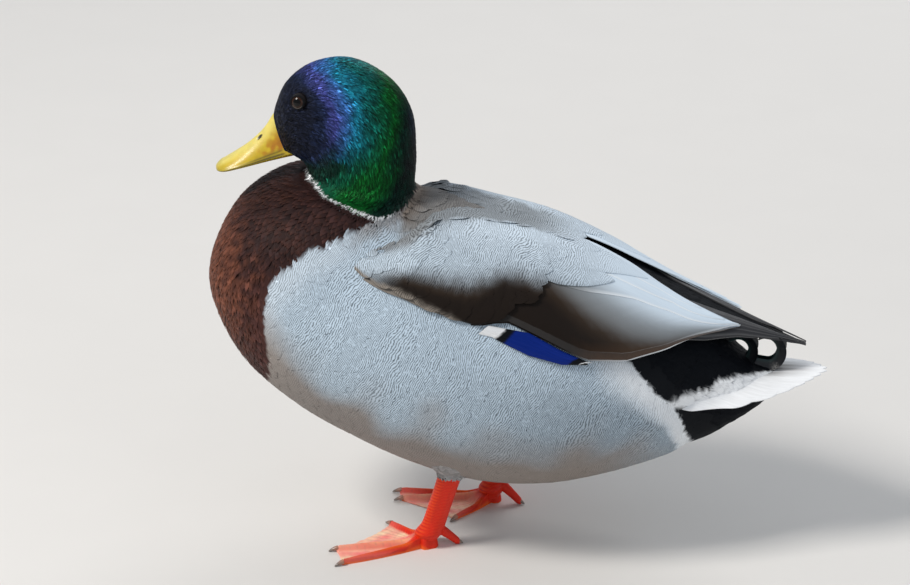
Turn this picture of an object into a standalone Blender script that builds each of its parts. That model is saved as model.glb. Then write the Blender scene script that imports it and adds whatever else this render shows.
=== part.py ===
"""A mallard drake, life size, standing with its neck drawn in.

The bird faces -X and its left side is -Y. Sizes are millimetres until they reach a mesh. The body, neck
and head are one tube of sections that turns twice: through the breast about the nape, and through the
head about the throat. Thin cuts part that tube. The folded wings are curved shells over its back.
"""

import math
from dataclasses import dataclass

import bmesh
import bpy
import numpy as np

MM = 0.001
GAP = 0.35  # clear space between neighbouring pieces
AROUND = 26  # points round a section of the body
SIDES = {"left": -1, "right": 1}

# Driving sizes of the bird
BILL_LENGTH = 50.6  # from the gape to the tip
BILL_PITCH = math.radians(16.8)  # the mouth line falls forwards by this much
GAPE = (-144.0, 258.8)
BILL_SHARES = (0.02, 0.12, 0.22, 0.34, 0.46, 0.58, 0.7, 0.8, 0.88, 0.94, 0.985)
BILL_HEIGHTS = (25.0, 21.0, 17.6, 14.4, 11.8, 9.6, 7.6, 6.0, 4.7, 3.5, 2.0)  # of the upper half there
BILL_HALF_WIDTH = 9.8  # at the nostrils
BILL_SWELL = 2.2  # and how much wider each side is towards the tip
BILL_LEAN = 0.165  # how far its root leans back to meet the head, as a share of its height
LOWER_BILL_DEPTH, LOWER_BILL_THINNING, LOWER_BILL_INSET = 3.6, 1.6, 1.6
EYE_RADIUS = 5.6
EYE_CENTRE = (-136.3, 18.4, 297.5)
TAIL_BASE_X, TAIL_TIP_X = 101.0, 198.0
TAIL_WIDEST_X = 115.0
TAIL_HALF_WIDTH = 39.5
TAIL_HEIGHT = 119.0
TAIL_DROOP = 10.0  # how far the fan's sides hang below its middle
TAIL_THICKNESS = 1.3
CURL_TILT = math.radians(38)  # the curled coverts show their faces half sideways
CURL_HALF_WIDTH, CURL_HALF_THICKNESS, CURL_END = 3.9, 0.45, 210  # the end is in degrees


@dataclass
class Section:
    """One section of the body: its back and belly points in the X-Z plane, and its shape across."""

    back: tuple
    belly: tuple
    half_width: float
    widest: float  # height of the widest place, as a share from belly to back
    upper: float  # fullness above it, where 2 is an ellipse
    lower: float  # fullness below it


BODY = (
    Section((163, 122), (163, 102), 11, 0.5, 2.0, 2.0),  # tips of the tail coverts
    Section((147, 127), (149, 91), 25, 0.5, 2.0, 2.0),
    Section((124, 149), (125, 74.5), 34.5, 0.5, 2.2, 2.0),
    Section((109, 157.5), (110, 68), 42, 0.5, 2.2, 2.0),
    Section((95, 165), (96, 61.5), 55, 0.46, 2.05, 2.0),  # rear end of the flanks
    Section((60, 188), (60, 49.5), 70, 0.44, 2.0, 2.0),
    Section((20, 208), (20, 41.5), 80, 0.44, 2.0, 2.05),
    Section((-20, 222), (-24, 42.5), 83, 0.44, 2.0, 2.1),  # deepest part of the belly
    Section((-46, 228.3), (-66, 53.5), 83, 0.46, 2.0, 2.1),
    Section((-53, 229.6), (-106, 71), 81, 0.47, 2.0, 2.1),
    Section((-57, 230.4), (-143, 92), 77.5, 0.47, 1.95, 2.1),
    Section((-60, 231.1), (-179, 125), 72, 0.46, 1.9, 2.15),
    Section((-62.4, 231.9), (-198, 172), 65, 0.46, 1.9, 2.2),  # front of the breast
    Section((-64.4, 233), (-186, 213), 56, 0.47, 1.95, 2.3),
    Section((-65.8, 234.8), (-162, 237), 44, 0.5, 2.0, 2.3),
    Section((-66.4, 238), (-136, 245), 35, 0.5, 2.1, 2.2),  # the white collar
    Section((-65.2, 258), (-134.4, 248.2), 32, 0.5, 2.1, 2.2),
    Section((-68, 286), (-135.4, 250.6), 29.5, 0.47, 2.1, 2.2),
    Section((-82, 307.5), (-137.3, 252.6), 27.5, 0.45, 2.1, 2.2),
    Section((-106, 319.8), (-139.4, 254.2), 26, 0.46, 2.1, 2.2),
    Section((-130, 316.5), (-141.6, 255.3), 23.5, 0.5, 2.1, 2.2),  # through the eyes
    Section((-147.5, 303), (-143.8, 256), 18, 0.5, 2.1, 2.2),
    Section((-155.5, 283.5), (-146, 256.2), 11.5, 0.45, 2.1, 2.4),  # root of the bill
)
RUMP_CUT, BREAST_CUT, COLLAR_CUT, HEAD_CUT = 3.6, 8.5, 14.3, 16.6

# The surface that the folded wings lie on: it leaves the body behind the thigh and runs on to their tips.
WING_BED = (
    Section((184, 136), (184, 122), 7, 0.5, 2.0, 2.0),
    Section((161, 145.5), (161, 105), 18, 0.5, 2.0, 2.0),
    Section((141, 154), (141, 90), 30, 0.5, 2.0, 2.0),
    Section((99, 173), (99, 62), 57, 0.46, 2.0, 2.0),
    Section((60, 194), (60, 49.5), 72, 0.44, 2.0, 2.0),
    Section((20, 211.5), (20, 41.5), 81, 0.44, 2.0, 2.05),
) + BODY[7:14]

# Upper and lower edges of each layer of the wing, in degrees round the bed from its top, by section.
COVERT_EDGES = (
    (4.35, 7, 64.5),
    (5.0, 8, 60),
    (5.5, 9, 56),
    (5.75, 10, 57.5),
    (6.0, 11, 60),
    (7.0, 18, 60),
    (8.0, 25, 60),
    (9.0, 34, 61),
    (10.0, 44, 62),
    (11.0, 56, 63),
)
TERTIAL_EDGES = ((2.0, 24.5, 26), (2.3, 20, 36), (2.7, 15, 45), (3.1, 11, 54), (3.7, 8, 63), (4.33, 7, 66))
PRIMARY_EDGES = (
    (0.05, 44, 52),
    (0.5, 30, 56),
    (1.0, 22, 54),
    (1.5, 17, 47),
    (2.0, 9, 40),
    (3.0, 12, 46),
    (3.8, 18, 54),
)
SPECULUM_EDGES = ((4.3, 65.5, 67.0), (4.7, 63, 68.5), (5.2, 58.5, 67.0), (5.75, 58.5, 62.5))
COVERT_LAYER = (0.5, 7.0)  # under and outer surface, measured out from the bed
TERTIAL_LAYER = (3.2, 6.6)
PRIMARY_LAYER = (0.6, 2.8)
SPECULUM_LAYER = (0.6, 2.4)


@dataclass
class Foot:
    """Where a foot's toe joint stands, how far its middle toe turns outwards, and the others' spread."""

    joint: tuple
    turn: float
    inner: float
    outer: float
    rise: float  # height of the heel joint above the knuckle


FEET = {
    "left": Foot((-53.6, -34.0), 13.0, -56.0, 18.5, 50.0),
    "right": Foot((-18.0, 36.5), -6.0, -48.0, 11.0, 45.0),
}
TOE_LENGTH = {"inner": 40.0, "middle": 62.0, "outer": 64.0}
TOE_GIRTH = {"inner": 3.0, "middle": 3.4, "outer": 3.3}
CLAW_LENGTH, HIND_CLAW_LENGTH = 6.0, 4.0
CLAW_RADIUS, CLAW_BLUNTNESS = 1.5, 0.3
HIND_TOE_START, HIND_TOE_LENGTH = 5.0, 12.5  # behind the middle of the knuckle
HIND_TOE_HEIGHT, HIND_TOE_FALL = 12.5, 10.3  # where it leaves the shank, and how far it slopes down
HIND_TOE_RADIUS, HIND_TOE_THINNING = 3.4, 1.1
HIND_TOE_INWARD = 0.24
WEB_THICKNESS = 1.2
KNUCKLE_RADIUS = 8.0
KNUCKLE_HEIGHT = 9.0
HEEL_RADIUS = 9.0  # the foot's rim behind the toes
TOE_SPLAY = 9.0  # degrees over which its rim falls back beside the outer toes
ANKLE_BACK = 14.5  # how far the heel joint lies behind the knuckle
ANKLE_OUT = 10.5  # and outside it
SHANK_HALF_DEPTH, SHANK_HALF_WIDTH, SHANK_SWELL = 7.5, 5.2, 0.12
THIGH_RINGS = ((0.0, 8.6), (1.5, 10.8), (5.0, 14.0), (11.0, 17.5), (20.0, 20.0))  # height and radius


# ---------------------------------------------------------------- scene and mesh helpers


def clear_scene():
    for thing in list(bpy.data.objects):
        bpy.data.objects.remove(thing)


def collection(name):
    made = bpy.data.collections.new(name)
    bpy.context.scene.collection.children.link(made)
    return made


def finish_material(name, colour, roughness):
    made = bpy.data.materials.new(name)
    made.use_nodes = True
    shader = made.node_tree.nodes["Principled BSDF"]
    shader.inputs["Base Color"].default_value = (*colour, 1.0)
    shader.inputs["Roughness"].default_value = roughness
    shader.inputs["Metallic"].default_value = 0.0
    made.diffuse_color = (*colour, 1.0)
    return made


def add_object(name, mesh, material=None, cutter=False):
    made = bpy.data.objects.new(name, mesh)
    (CUTTERS if cutter else BIRD).objects.link(made)
    if cutter:
        made.hide_render = True
        made.display_type = "WIRE"
    if material:
        mesh.materials.append(material)
    return made


def loft(name, rings, material=None, cutter=False):
    """A closed solid through rings of points in millimetres, with a fan of triangles over each end."""
    form = bmesh.new()
    rows = [[form.verts.new(point * MM) for point in ring] for ring in rings]
    for row, after in zip(rows, rows[1:]):
        for i in range(len(row)):
            j = (i + 1) % len(row)
            form.faces.new((row[i], row[j], after[j], after[i]))
    for row, ring in ((rows[0], rings[0]), (rows[-1], rings[-1])):
        centre = form.verts.new(np.mean(ring, axis=0) * MM)
        for i in range(len(row)):
            form.faces.new((row[i], row[(i + 1) % len(row)], centre))
    return closed_object(name, form, material, cutter)


def shell(name, outer, inner, material=None, cutter=False):
    """A closed solid between two grids of points of the same size, walled round their shared border."""
    form = bmesh.new()
    top, under = ([[form.verts.new(p * MM) for p in row] for row in grid] for grid in (outer, inner))
    for grid in (top, under):
        for row, after in zip(grid, grid[1:]):
            for i in range(len(row) - 1):
                form.faces.new((row[i], row[i + 1], after[i + 1], after[i]))
    border = [border_of(top), border_of(under)]
    for i in range(len(border[0])):
        j = (i + 1) % len(border[0])
        form.faces.new((border[0][i], border[0][j], border[1][j], border[1][i]))
    return closed_object(name, form, material, cutter)


def border_of(grid):
    """The points round the edge of a grid, in order."""
    right = [row[-1] for row in grid[1:-1]]
    left = [row[0] for row in grid[-2:0:-1]]
    return grid[0] + right + grid[-1][::-1] + left


def closed_object(name, form, material, cutter):
    bmesh.ops.recalc_face_normals(form, faces=form.faces)
    mesh = bpy.data.meshes.new(name)
    form.to_mesh(mesh)
    form.free()
    made = add_object(name, mesh, material, cutter)
    mesh.shade_smooth()
    mesh.set_sharp_from_angle(angle=math.radians(50))
    return made


def cut_away(solid, cutter):
    modifier = solid.modifiers.new("Cut_" + cutter.name, "BOOLEAN")
    modifier.operation = "DIFFERENCE"
    modifier.solver = "EXACT"
    modifier.object = cutter


# ---------------------------------------------------------------- curves and sections


def smooth_through(rows, at):
    """Values at a fractional row number, on a Catmull-Rom curve through the rows of a table."""
    rows = np.asarray(rows, float)
    first = int(min(max(math.floor(at), 0), len(rows) - 2))
    t = at - first
    before, start, end, after = (rows[min(max(first + k, 0), len(rows) - 1)] for k in (-1, 0, 1, 2))
    return 0.5 * (
        2 * start
        + (end - before) * t
        + (2 * before - 5 * start + 4 * end - after) * t**2
        + (3 * start - before - 3 * end + after) * t**3
    )


def by_knots(knots, at):
    """The columns after the first of a table of knots, read at a value of the first column."""
    table = np.asarray(knots, float)
    return [float(np.interp(at, table[:, 0], table[:, k])) for k in range(1, table.shape[1])]


def section_at(form, at):
    row = smooth_through([(*s.back, *s.belly, s.half_width, s.widest, s.upper, s.lower) for s in form], at)
    return Section(tuple(row[0:2]), tuple(row[2:4]), *row[4:])


def point_on(section, angle, side=1, grow=0.0):
    """A point of a section: angle 0 is the back and pi the belly, and grow moves it outwards."""
    back, belly = np.array(section.back), np.array(section.belly)
    depth = float(np.linalg.norm(back - belly))
    up = (back - belly) / depth
    cosine, sine = math.cos(angle), abs(math.sin(angle))
    power = 2.0 / (section.upper if cosine > 0 else section.lower)
    reach = (1 - section.widest if cosine > 0 else section.widest) * depth + grow
    height = section.widest * depth + math.copysign(abs(cosine) ** power, cosine) * reach
    across = (section.half_width + grow) * sine**power
    x, z = belly + up * height
    return np.array((x, math.copysign(across, math.sin(angle)) * side, z))


def ring_of(section, grow=0.0, shift=0.0, count=AROUND):
    """All points of a section, moved along its own normal by shift."""
    back, belly = np.array(section.back), np.array(section.belly)
    up = (back - belly) / np.linalg.norm(back - belly)
    normal = np.array((-up[1], 0.0, up[0]))
    angles = [2 * math.pi * (i + 0.5) / count for i in range(count)]
    return np.array([point_on(section, a, grow=grow) + normal * shift for a in angles])


# ---------------------------------------------------------------- body, neck and head


def body_piece(name, start, end, material, grow=0.0, cutter=False, step=0.5):
    """The body's tube between two section numbers, drawn back by half a gap at each cut."""
    count = max(2, round((end - start) / step) + 1)
    places = np.linspace(start, end, count)
    rings = [ring_of(section_at(BODY, at), grow) for at in places]
    clear = GAP / 2
    if start > 0:
        rings[0] = ring_of(section_at(BODY, start), grow, shift=clear)
    if end < len(BODY) - 1:
        rings[-1] = ring_of(section_at(BODY, end), grow, shift=-clear)
    return loft(name, rings, material, cutter)


def make_body():
    end = len(BODY) - 1
    body_piece("rump", 0, RUMP_CUT, BLACK)
    body_piece("trunk", RUMP_CUT, BREAST_CUT, GREY)
    body_piece("breast", BREAST_CUT, COLLAR_CUT, CHESTNUT)
    body_piece("neck", COLLAR_CUT, HEAD_CUT, GREEN)
    head = body_piece("head", HEAD_CUT, end, GREEN, step=0.36)
    for side, sign in SIDES.items():
        x, y, z = EYE_CENTRE
        ball(f"eye_{side}", (x, sign * y, z), EYE_RADIUS, EYE)
        cut_away(head, ball(f"socket_{side}", (x, sign * y, z), EYE_RADIUS + GAP, None, cutter=True))
    return body_piece("body_clearance", 0, end, None, grow=GAP, cutter=True)


def ball(name, centre, radius, material, cutter=False):
    form = bmesh.new()
    bmesh.ops.create_uvsphere(form, u_segments=14, v_segments=8, radius=radius * MM)
    bmesh.ops.translate(form, verts=form.verts, vec=[c * MM for c in centre])
    return closed_object(name, form, material, cutter)


# ---------------------------------------------------------------- bill


def bill_frame():
    """Unit vectors along the mouth line towards the tip, and up from it, in the X-Z plane."""
    along = np.array((-math.cos(BILL_PITCH), 0.0, -math.sin(BILL_PITCH)))
    up = np.array((-math.sin(BILL_PITCH), 0.0, math.cos(BILL_PITCH)))
    return along, up


def bill_width(share):
    """Half-width along the bill: narrow behind the nostrils, widest near the round tip."""
    swell = math.sin(math.pi * min(1.0, max(0.0, share - 0.25) / 0.95)) ** 1.5
    tip = math.sqrt(max(0.0, 1 - max(0.0, (share - 0.8) / 0.2) ** 2.4))
    return max(0.8, (BILL_HALF_WIDTH + BILL_SWELL * swell) * tip)


def bill_ring(share, height, width, drop=0.0):
    """A half-round section of the bill on its flat mouth side, leaning back to meet the head at its root."""
    along, up = bill_frame()
    origin = np.array((GAPE[0], 0.0, GAPE[1]))
    lean = BILL_LEAN * max(0.0, 1 - share / 0.55)
    points = []
    for angle in np.linspace(0, math.pi, 12):
        rise = math.sin(angle) ** 0.9 * height
        y = math.cos(angle) * width * (1 - 0.12 * math.sin(angle))
        reach = share * BILL_LENGTH + lean * rise
        points.append(origin + along * reach + up * (rise + drop) + np.array((0.0, y, 0.0)))
    return np.array(points)


def make_bill(body_clearance):
    upper = [bill_ring(s, h, bill_width(s)) for s, h in zip(BILL_SHARES, BILL_HEIGHTS)]
    cut_away(loft("bill_upper", upper, BILL), body_clearance)
    lower = []
    for share in BILL_SHARES[:-1]:
        depth = LOWER_BILL_DEPTH - LOWER_BILL_THINNING * share
        lower.append(bill_ring(share, -depth, bill_width(share) - LOWER_BILL_INSET, drop=-GAP))
    cut_away(loft("bill_lower", lower, BILL), body_clearance)


# ---------------------------------------------------------------- wings


def wing_shell(name, side, edges, layer, rows, columns, material):
    """A layer of the folded wing between its upper and lower edges, thinner towards them."""
    outer, inner = [], []
    low, high = edges[0][0], edges[-1][0]
    for at in np.linspace(low, high, rows):
        top, bottom = by_knots(edges, at)
        section = section_at(WING_BED, at)
        outer.append([])
        inner.append([])
        for share in np.linspace(0, 1, columns):
            angle = math.radians(top + (bottom - top) * share)
            crown = 0.35 + 0.65 * math.sin(math.pi * share) ** 0.6
            thick = (layer[1] - layer[0]) * crown
            inner[-1].append(point_on(section, angle, side, layer[0]))
            outer[-1].append(point_on(section, angle, side, layer[0] + max(0.8, thick)))
    return shell(name, np.array(outer), np.array(inner), material)


def make_wings():
    for side, sign in SIDES.items():
        wing_shell(f"wing_{side}_coverts", sign, COVERT_EDGES, COVERT_LAYER, 15, 7, GREY)
        wing_shell(f"wing_{side}_tertials", sign, TERTIAL_EDGES, TERTIAL_LAYER, 12, 7, BROWN)
        wing_shell(f"wing_{side}_primaries", sign, PRIMARY_EDGES, PRIMARY_LAYER, 11, 5, SLATE)
        wing_shell(f"wing_{side}_speculum", sign, SPECULUM_EDGES, SPECULUM_LAYER, 7, 4, BLUE)


# ---------------------------------------------------------------- tail


def tail_half_width(x):
    """Half-width of the closed fan: nearly even, then narrowing in a curve to the tip."""
    share = max(0.0, (x - TAIL_WIDEST_X) / (TAIL_TIP_X + 1.0 - TAIL_WIDEST_X))
    return TAIL_HALF_WIDTH * (1 - share**2.6) ** 0.75


def tail_point(x, across, lift):
    """A point of the tail fan: across runs from -1 to 1, and lift is measured from its under side."""
    y = across * tail_half_width(x)
    return x, y, TAIL_HEIGHT - TAIL_DROOP * (y / TAIL_HALF_WIDTH) ** 2 + lift


def make_tail(body_clearance):
    rows, columns = np.linspace(TAIL_BASE_X, TAIL_TIP_X, 11), np.linspace(-1, 1, 9)
    top = np.array([[tail_point(x, c, TAIL_THICKNESS) for c in columns] for x in rows])
    under = np.array([[tail_point(x, c, 0.0) for c in columns] for x in rows])
    cut_away(shell("tail", top, under, WHITE), body_clearance)
    for side, sign in SIDES.items():
        front = curl(f"tail_curl_front_{side}", sign * 9.6, (142.0, 134.0), (8.0, 9.6), -100)
        rear = curl(f"tail_curl_rear_{side}", sign * 3.6, (159.5, 133.0), (8.6, 10.0), -70)
        for feather in (front, rear):
            cut_away(feather, body_clearance)


def curl(name, y, centre, radii, start):
    """A curled tail covert: a ribbon turned half sideways, round most of an oval, narrowing to its tip."""
    outer, inner = [], []
    for share in np.linspace(0, 1, 15):
        angle = math.radians(start + (CURL_END - start) * share)
        shrink = 1 - 0.12 * share**2
        half = CURL_HALF_WIDTH * (1 - 0.5 * share**4)
        for grid, reach in ((outer, CURL_HALF_THICKNESS), (inner, -CURL_HALF_THICKNESS)):
            row = []
            for k in (-1, 0, 1):
                out = half * k * math.cos(CURL_TILT) - reach * math.sin(CURL_TILT)
                beside = half * k * math.sin(CURL_TILT) + reach * math.cos(CURL_TILT)
                x = centre[0] + (radii[0] * shrink + out) * math.cos(angle)
                z = centre[1] + (radii[1] * shrink + out) * math.sin(angle)
                row.append((x, y + math.copysign(1, y) * beside, z))
            grid.append(row)
    return shell(name, np.array(outer), np.array(inner), BLACK)


# ---------------------------------------------------------------- legs and feet


def toes_of(side):
    """Each toe's name with its angle outwards from the middle toe, its length and its half-thickness."""
    splays = {"inner": FEET[side].inner, "middle": 0.0, "outer": FEET[side].outer}
    return [(name, splays[name], TOE_LENGTH[name], TOE_GIRTH[name]) for name in splays]


def foot_reach(side, splay, grow=0.0):
    """Length of the webbed foot at an angle from the middle toe, hollowed between the toe tips."""
    splays = [toe[1] for toe in toes_of(side)]
    lengths = [toe[2] for toe in toes_of(side)]
    if splay < splays[0] or splay > splays[-1]:
        outside = min(abs(splay - splays[0]), abs(splay - splays[-1]))
        edge = lengths[0] if splay < splays[0] else lengths[-1]
        return HEEL_RADIUS + grow + (edge - HEEL_RADIUS) * max(0.0, 1 - outside / TOE_SPLAY) ** 1.5
    k = 0 if splay < splays[1] else 1
    share = (splay - splays[k]) / (splays[k + 1] - splays[k])
    spread = math.radians(splays[k + 1] - splays[k])
    # The web's edge is the straight line between the tips, which polar places give as 1 / reach.
    near, far = share * spread, (1 - share) * spread
    line = math.sin(spread) / (math.sin(far) / lengths[k] + math.sin(near) / lengths[k + 1])
    return line * (1 - 0.10 * math.sin(math.pi * share) ** 0.8) + grow


def foot_height(side, radius, splay, grow=0.0):
    """Height of the foot's upper surface: the web, a ridge along each toe and the knuckle."""
    height = WEB_THICKNESS + grow
    for _, toe_splay, length, girth in toes_of(side):
        beside = radius * math.sin(math.radians(min(90.0, abs(splay - toe_splay))))
        ridge = girth * (1 - 0.3 * min(1.0, radius / length))
        height = max(height, grow + 1.8 * ridge * math.exp(-((beside / ridge) ** 2)))
    blend = min(1.0, max(0.0, (radius - KNUCKLE_RADIUS) / 12.0))
    return KNUCKLE_HEIGHT + grow + (height - KNUCKLE_HEIGHT - grow) * (3 * blend**2 - 2 * blend**3)


def foot_splays(side):
    """Angles round the foot: close together over the toes and web, wide apart behind."""
    foot = FEET[side]
    toes = (foot.inner - TOE_SPLAY, foot.inner, 0.0, foot.outer, foot.outer + TOE_SPLAY)
    front = [np.linspace(toes[k], toes[k + 1], steps + 1)[:-1] for k, steps in enumerate((4, 13, 7, 4))]
    return np.concatenate((*front, [toes[-1]], np.linspace(foot.outer + 40, foot.inner + 320, 6)))


def foot_solid(name, side, grow=0.0, cutter=False):
    rings = []
    for share in (0.0, 0.06, 0.14, 0.3, 0.6, 0.86, 1.0):
        ring = []
        for splay in foot_splays(side):
            limit = HEEL_RADIUS + grow
            if splay < FEET[side].outer + TOE_SPLAY:
                limit = max(limit, foot_reach(side, splay, grow))
            reach = KNUCKLE_RADIUS + (limit - KNUCKLE_RADIUS) * share
            ring.append(foot_place(side, reach, splay, foot_height(side, reach, splay, grow)))
        rings.append(np.array(ring))
    sole = rings[-1].copy()
    sole[:, 2] = 0.0
    return loft(name, [*rings, sole], SKIN, cutter)


def foot_place(side, radius, splay, height):
    """A point of a foot from its polar place about the toe joint, where 0 degrees is the middle toe."""
    x, y = FEET[side].joint
    turn = math.radians(splay + FEET[side].turn)
    return np.array((x - radius * math.cos(turn), y + SIDES[side] * radius * math.sin(turn), height))


def ankle(side):
    x, y = FEET[side].joint
    return np.array((x + ANKLE_BACK, y + SIDES[side] * ANKLE_OUT, KNUCKLE_HEIGHT + GAP + FEET[side].rise))


def shank(name, side, grow=0.0, cutter=False):
    """The bare shank from the knuckle up to the heel joint, leaning back and thickest at its ends."""
    knuckle = np.array((*FEET[side].joint, KNUCKLE_HEIGHT + GAP))
    rings = []
    for share in np.linspace(0, 1, 7):
        centre = knuckle + (ankle(side) - knuckle) * share
        swell = 1 + SHANK_SWELL * (2 * share - 1) ** 4
        depth, width = SHANK_HALF_DEPTH * swell + grow, SHANK_HALF_WIDTH * swell + grow
        turns = np.linspace(0, 2 * math.pi, 15)[:-1]
        rings.append(centre + np.stack((depth * np.cos(turns), width * np.sin(turns), 0 * turns), 1))
    return loft(name, rings, SKIN, cutter)


def thigh(name, side, body_clearance):
    """The feathered thigh, from inside the belly down to the heel joint, cut clear of the body."""
    bottom = ankle(side) + np.array((0.0, 0.0, GAP))
    turns = np.linspace(0, 2 * math.pi, 17)[:-1]
    rings = []
    for rise, radius in THIGH_RINGS:
        oval = np.stack((1.15 * radius * np.cos(turns), radius * np.sin(turns), 0 * turns), 1)
        rings.append(oval + bottom + np.array((0.3 * rise, 0.0, rise)))
    cut_away(loft(name, rings, GREY), body_clearance)


def round_ring(centre, normal, radius, count=9):
    """A circle of points about a centre, square to a direction."""
    normal = np.array(normal, float) / np.linalg.norm(normal)
    beside = np.cross(normal, (0.0, 0.0, 1.0))
    beside /= np.linalg.norm(beside)
    upper = np.cross(beside, normal)
    turns = np.linspace(0, 2 * math.pi, count + 1)[:-1, None]
    return centre + radius * (upper * np.cos(turns) + beside * np.sin(turns))


def claw(name, root, direction, length, clearance):
    """A small blunt claw that springs from the end of a toe and bends down to the ground."""
    rings = []
    for share in np.linspace(0, 1, 4):
        radius = CLAW_RADIUS * (1 - share) ** 0.6 + CLAW_BLUNTNESS
        centre = root + direction * length * share
        centre[2] = max(radius, root[2] * (1 - 0.75 * share**1.6))
        rings.append(round_ring(centre, direction, radius, count=7))
    cut_away(loft(name, rings, CLAW), clearance)


def hind_toe(side, clearance):
    """The short raised hind toe, whose tip and claw reach down to the ground."""
    x, y = FEET[side].joint
    back = np.array((math.sqrt(1 - HIND_TOE_INWARD**2), -HIND_TOE_INWARD * SIDES[side], 0.0))
    rings = []
    for share in np.linspace(0, 1, 6):
        radius = HIND_TOE_RADIUS - HIND_TOE_THINNING * share
        centre = np.array((x, y, 0.0)) + back * (HIND_TOE_START + HIND_TOE_LENGTH * share)
        centre[2] = HIND_TOE_HEIGHT - HIND_TOE_FALL * share**1.1
        rings.append(round_ring(centre, back + np.array((0, 0, -0.6)), radius))
    rings.append(round_ring(centre + back * 1.2, back + np.array((0, 0, -0.3)), 1.3))
    for ring in rings:
        ring[:, 2] = np.maximum(ring[:, 2], 0.0)
    toe = loft(f"toe_{side}_hind", rings, SKIN)
    for cutter in clearance:
        cut_away(toe, cutter)
    around_toe = loft(f"hind_clearance_{side}", [ring_grown(ring, GAP) for ring in rings], None, cutter=True)
    claw(f"claw_{side}_hind", centre + back, back, HIND_CLAW_LENGTH, around_toe)


def ring_grown(ring, grow):
    middle = ring.mean(axis=0)
    return middle + (ring - middle) * (1 + grow / np.linalg.norm(ring - middle, axis=1, keepdims=True))


def make_legs(body_clearance):
    for side in SIDES:
        foot_solid(f"foot_{side}", side)
        around_foot = foot_solid(f"foot_clearance_{side}", side, grow=GAP, cutter=True)
        cut_away(shank(f"leg_{side}_shank", side), body_clearance)
        around_shank = shank(f"shank_clearance_{side}", side, grow=GAP, cutter=True)
        thigh(f"leg_{side}_thigh", side, body_clearance)
        hind_toe(side, (around_foot, around_shank))
        for toe, splay, length, girth in toes_of(side):
            root = foot_place(side, length - 1.5, splay, girth * 0.75)
            ahead = foot_place(side, length, splay, girth * 0.75) - root
            claw(f"claw_{side}_{toe}", root, ahead / np.linalg.norm(ahead), CLAW_LENGTH, around_foot)


clear_scene()
BIRD, CUTTERS = collection("Mallard_drake"), collection("Cutters")
GREEN = finish_material("Head_green", (0.02, 0.16, 0.07), 0.35)
CHESTNUT = finish_material("Breast_chestnut", (0.12, 0.045, 0.025), 0.55)
GREY = finish_material("Flank_grey", (0.55, 0.57, 0.58), 0.7)
BROWN = finish_material("Tertial_greybrown", (0.38, 0.35, 0.32), 0.6)
SLATE = finish_material("Primary_slate", (0.08, 0.075, 0.07), 0.55)
BLUE = finish_material("Speculum_blue", (0.02, 0.05, 0.35), 0.35)
BLACK = finish_material("Rump_black", (0.01, 0.011, 0.012), 0.5)
WHITE = finish_material("Tail_white", (0.85, 0.86, 0.86), 0.7)
BILL = finish_material("Bill_yellow", (0.70, 0.52, 0.06), 0.35)
SKIN = finish_material("Leg_orange", (0.85, 0.14, 0.02), 0.45)
CLAW = finish_material("Claw_horn", (0.06, 0.045, 0.035), 0.4)
EYE = finish_material("Eye_dark", (0.02, 0.012, 0.008), 0.08)
around_body = make_body()
make_bill(around_body)
make_wings()
make_tail(around_body)
make_legs(around_body)
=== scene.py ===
"""A mallard drake, life size: skin, feathers, bill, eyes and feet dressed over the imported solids.

The bird faces -X and its left side is -Y. Sizes are millimetres until they reach a mesh. A place on the
body is a pair (at, turn): the section number from the tail (0) to the bill (22), and the angle round that
section from the back (0) to the belly (pi), negative on the left side.
"""

from __future__ import annotations

import logging
import math
from collections.abc import Callable
from dataclasses import dataclass, field
from enum import Enum

import bpy
import numpy as np
from mathutils import Matrix


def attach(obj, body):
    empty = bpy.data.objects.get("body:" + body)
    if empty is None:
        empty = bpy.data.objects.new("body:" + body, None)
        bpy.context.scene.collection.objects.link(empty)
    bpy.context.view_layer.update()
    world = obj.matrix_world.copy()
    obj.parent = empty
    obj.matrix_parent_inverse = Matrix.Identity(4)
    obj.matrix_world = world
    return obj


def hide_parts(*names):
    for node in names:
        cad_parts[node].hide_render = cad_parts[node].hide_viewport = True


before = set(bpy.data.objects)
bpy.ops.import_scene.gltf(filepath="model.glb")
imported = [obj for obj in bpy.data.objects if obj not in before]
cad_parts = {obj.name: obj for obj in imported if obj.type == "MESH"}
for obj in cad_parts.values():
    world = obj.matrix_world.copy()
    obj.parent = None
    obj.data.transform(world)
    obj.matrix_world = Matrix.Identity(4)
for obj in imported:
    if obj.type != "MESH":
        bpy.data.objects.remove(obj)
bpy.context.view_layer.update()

Array = np.ndarray
Colour = tuple[float, float, float]
Knots = tuple[tuple[float, ...], ...]  # rows of a place and the values there
Paint = Callable[..., tuple[Array, Array, Array]]  # gives tint, strength of wavy lines and line phase
Test = Callable[..., Array]  # gives a value from at and turn
Maker = np.random.Generator
TAU = 2 * math.pi
MM = 0.001
ROOT = "root"
SIDES = {"left": -1, "right": 1}
PATCH = 0.003  # size of one feather on the baking map
PLANE_STEPS = (0.7548776662, 0.5698402910)  # steps of a sequence that fills a square evenly
log = logging.getLogger("mallard")


# ---- small helpers


def ease(low: float, high: float, value: Array) -> Array:
    """An S-shaped rise from 0 at low to 1 at high."""
    share = np.clip((value - low) / (high - low), 0.0, 1.0)
    return share * share * (3.0 - 2.0 * share)


def mix(first: Array | Colour, second: Array | Colour, share: Array) -> Array:
    """First and second colours mixed by a share from 0 to 1."""
    share = np.asarray(share)[..., None]
    return np.asarray(first) * (1.0 - share) + np.asarray(second) * share


def painted(base: Array | Colour, *coats: tuple[Array | Colour, Array]) -> Array:
    """A base colour under coats of other colours, each with its share from 0 to 1."""
    for colour, share in coats:
        base = mix(base, colour, share)
    return base


def unit(vectors: Array) -> Array:
    """Vectors scaled to a length of one."""
    return vectors / np.maximum(np.linalg.norm(vectors, axis=-1, keepdims=True), 1e-9)


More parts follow.
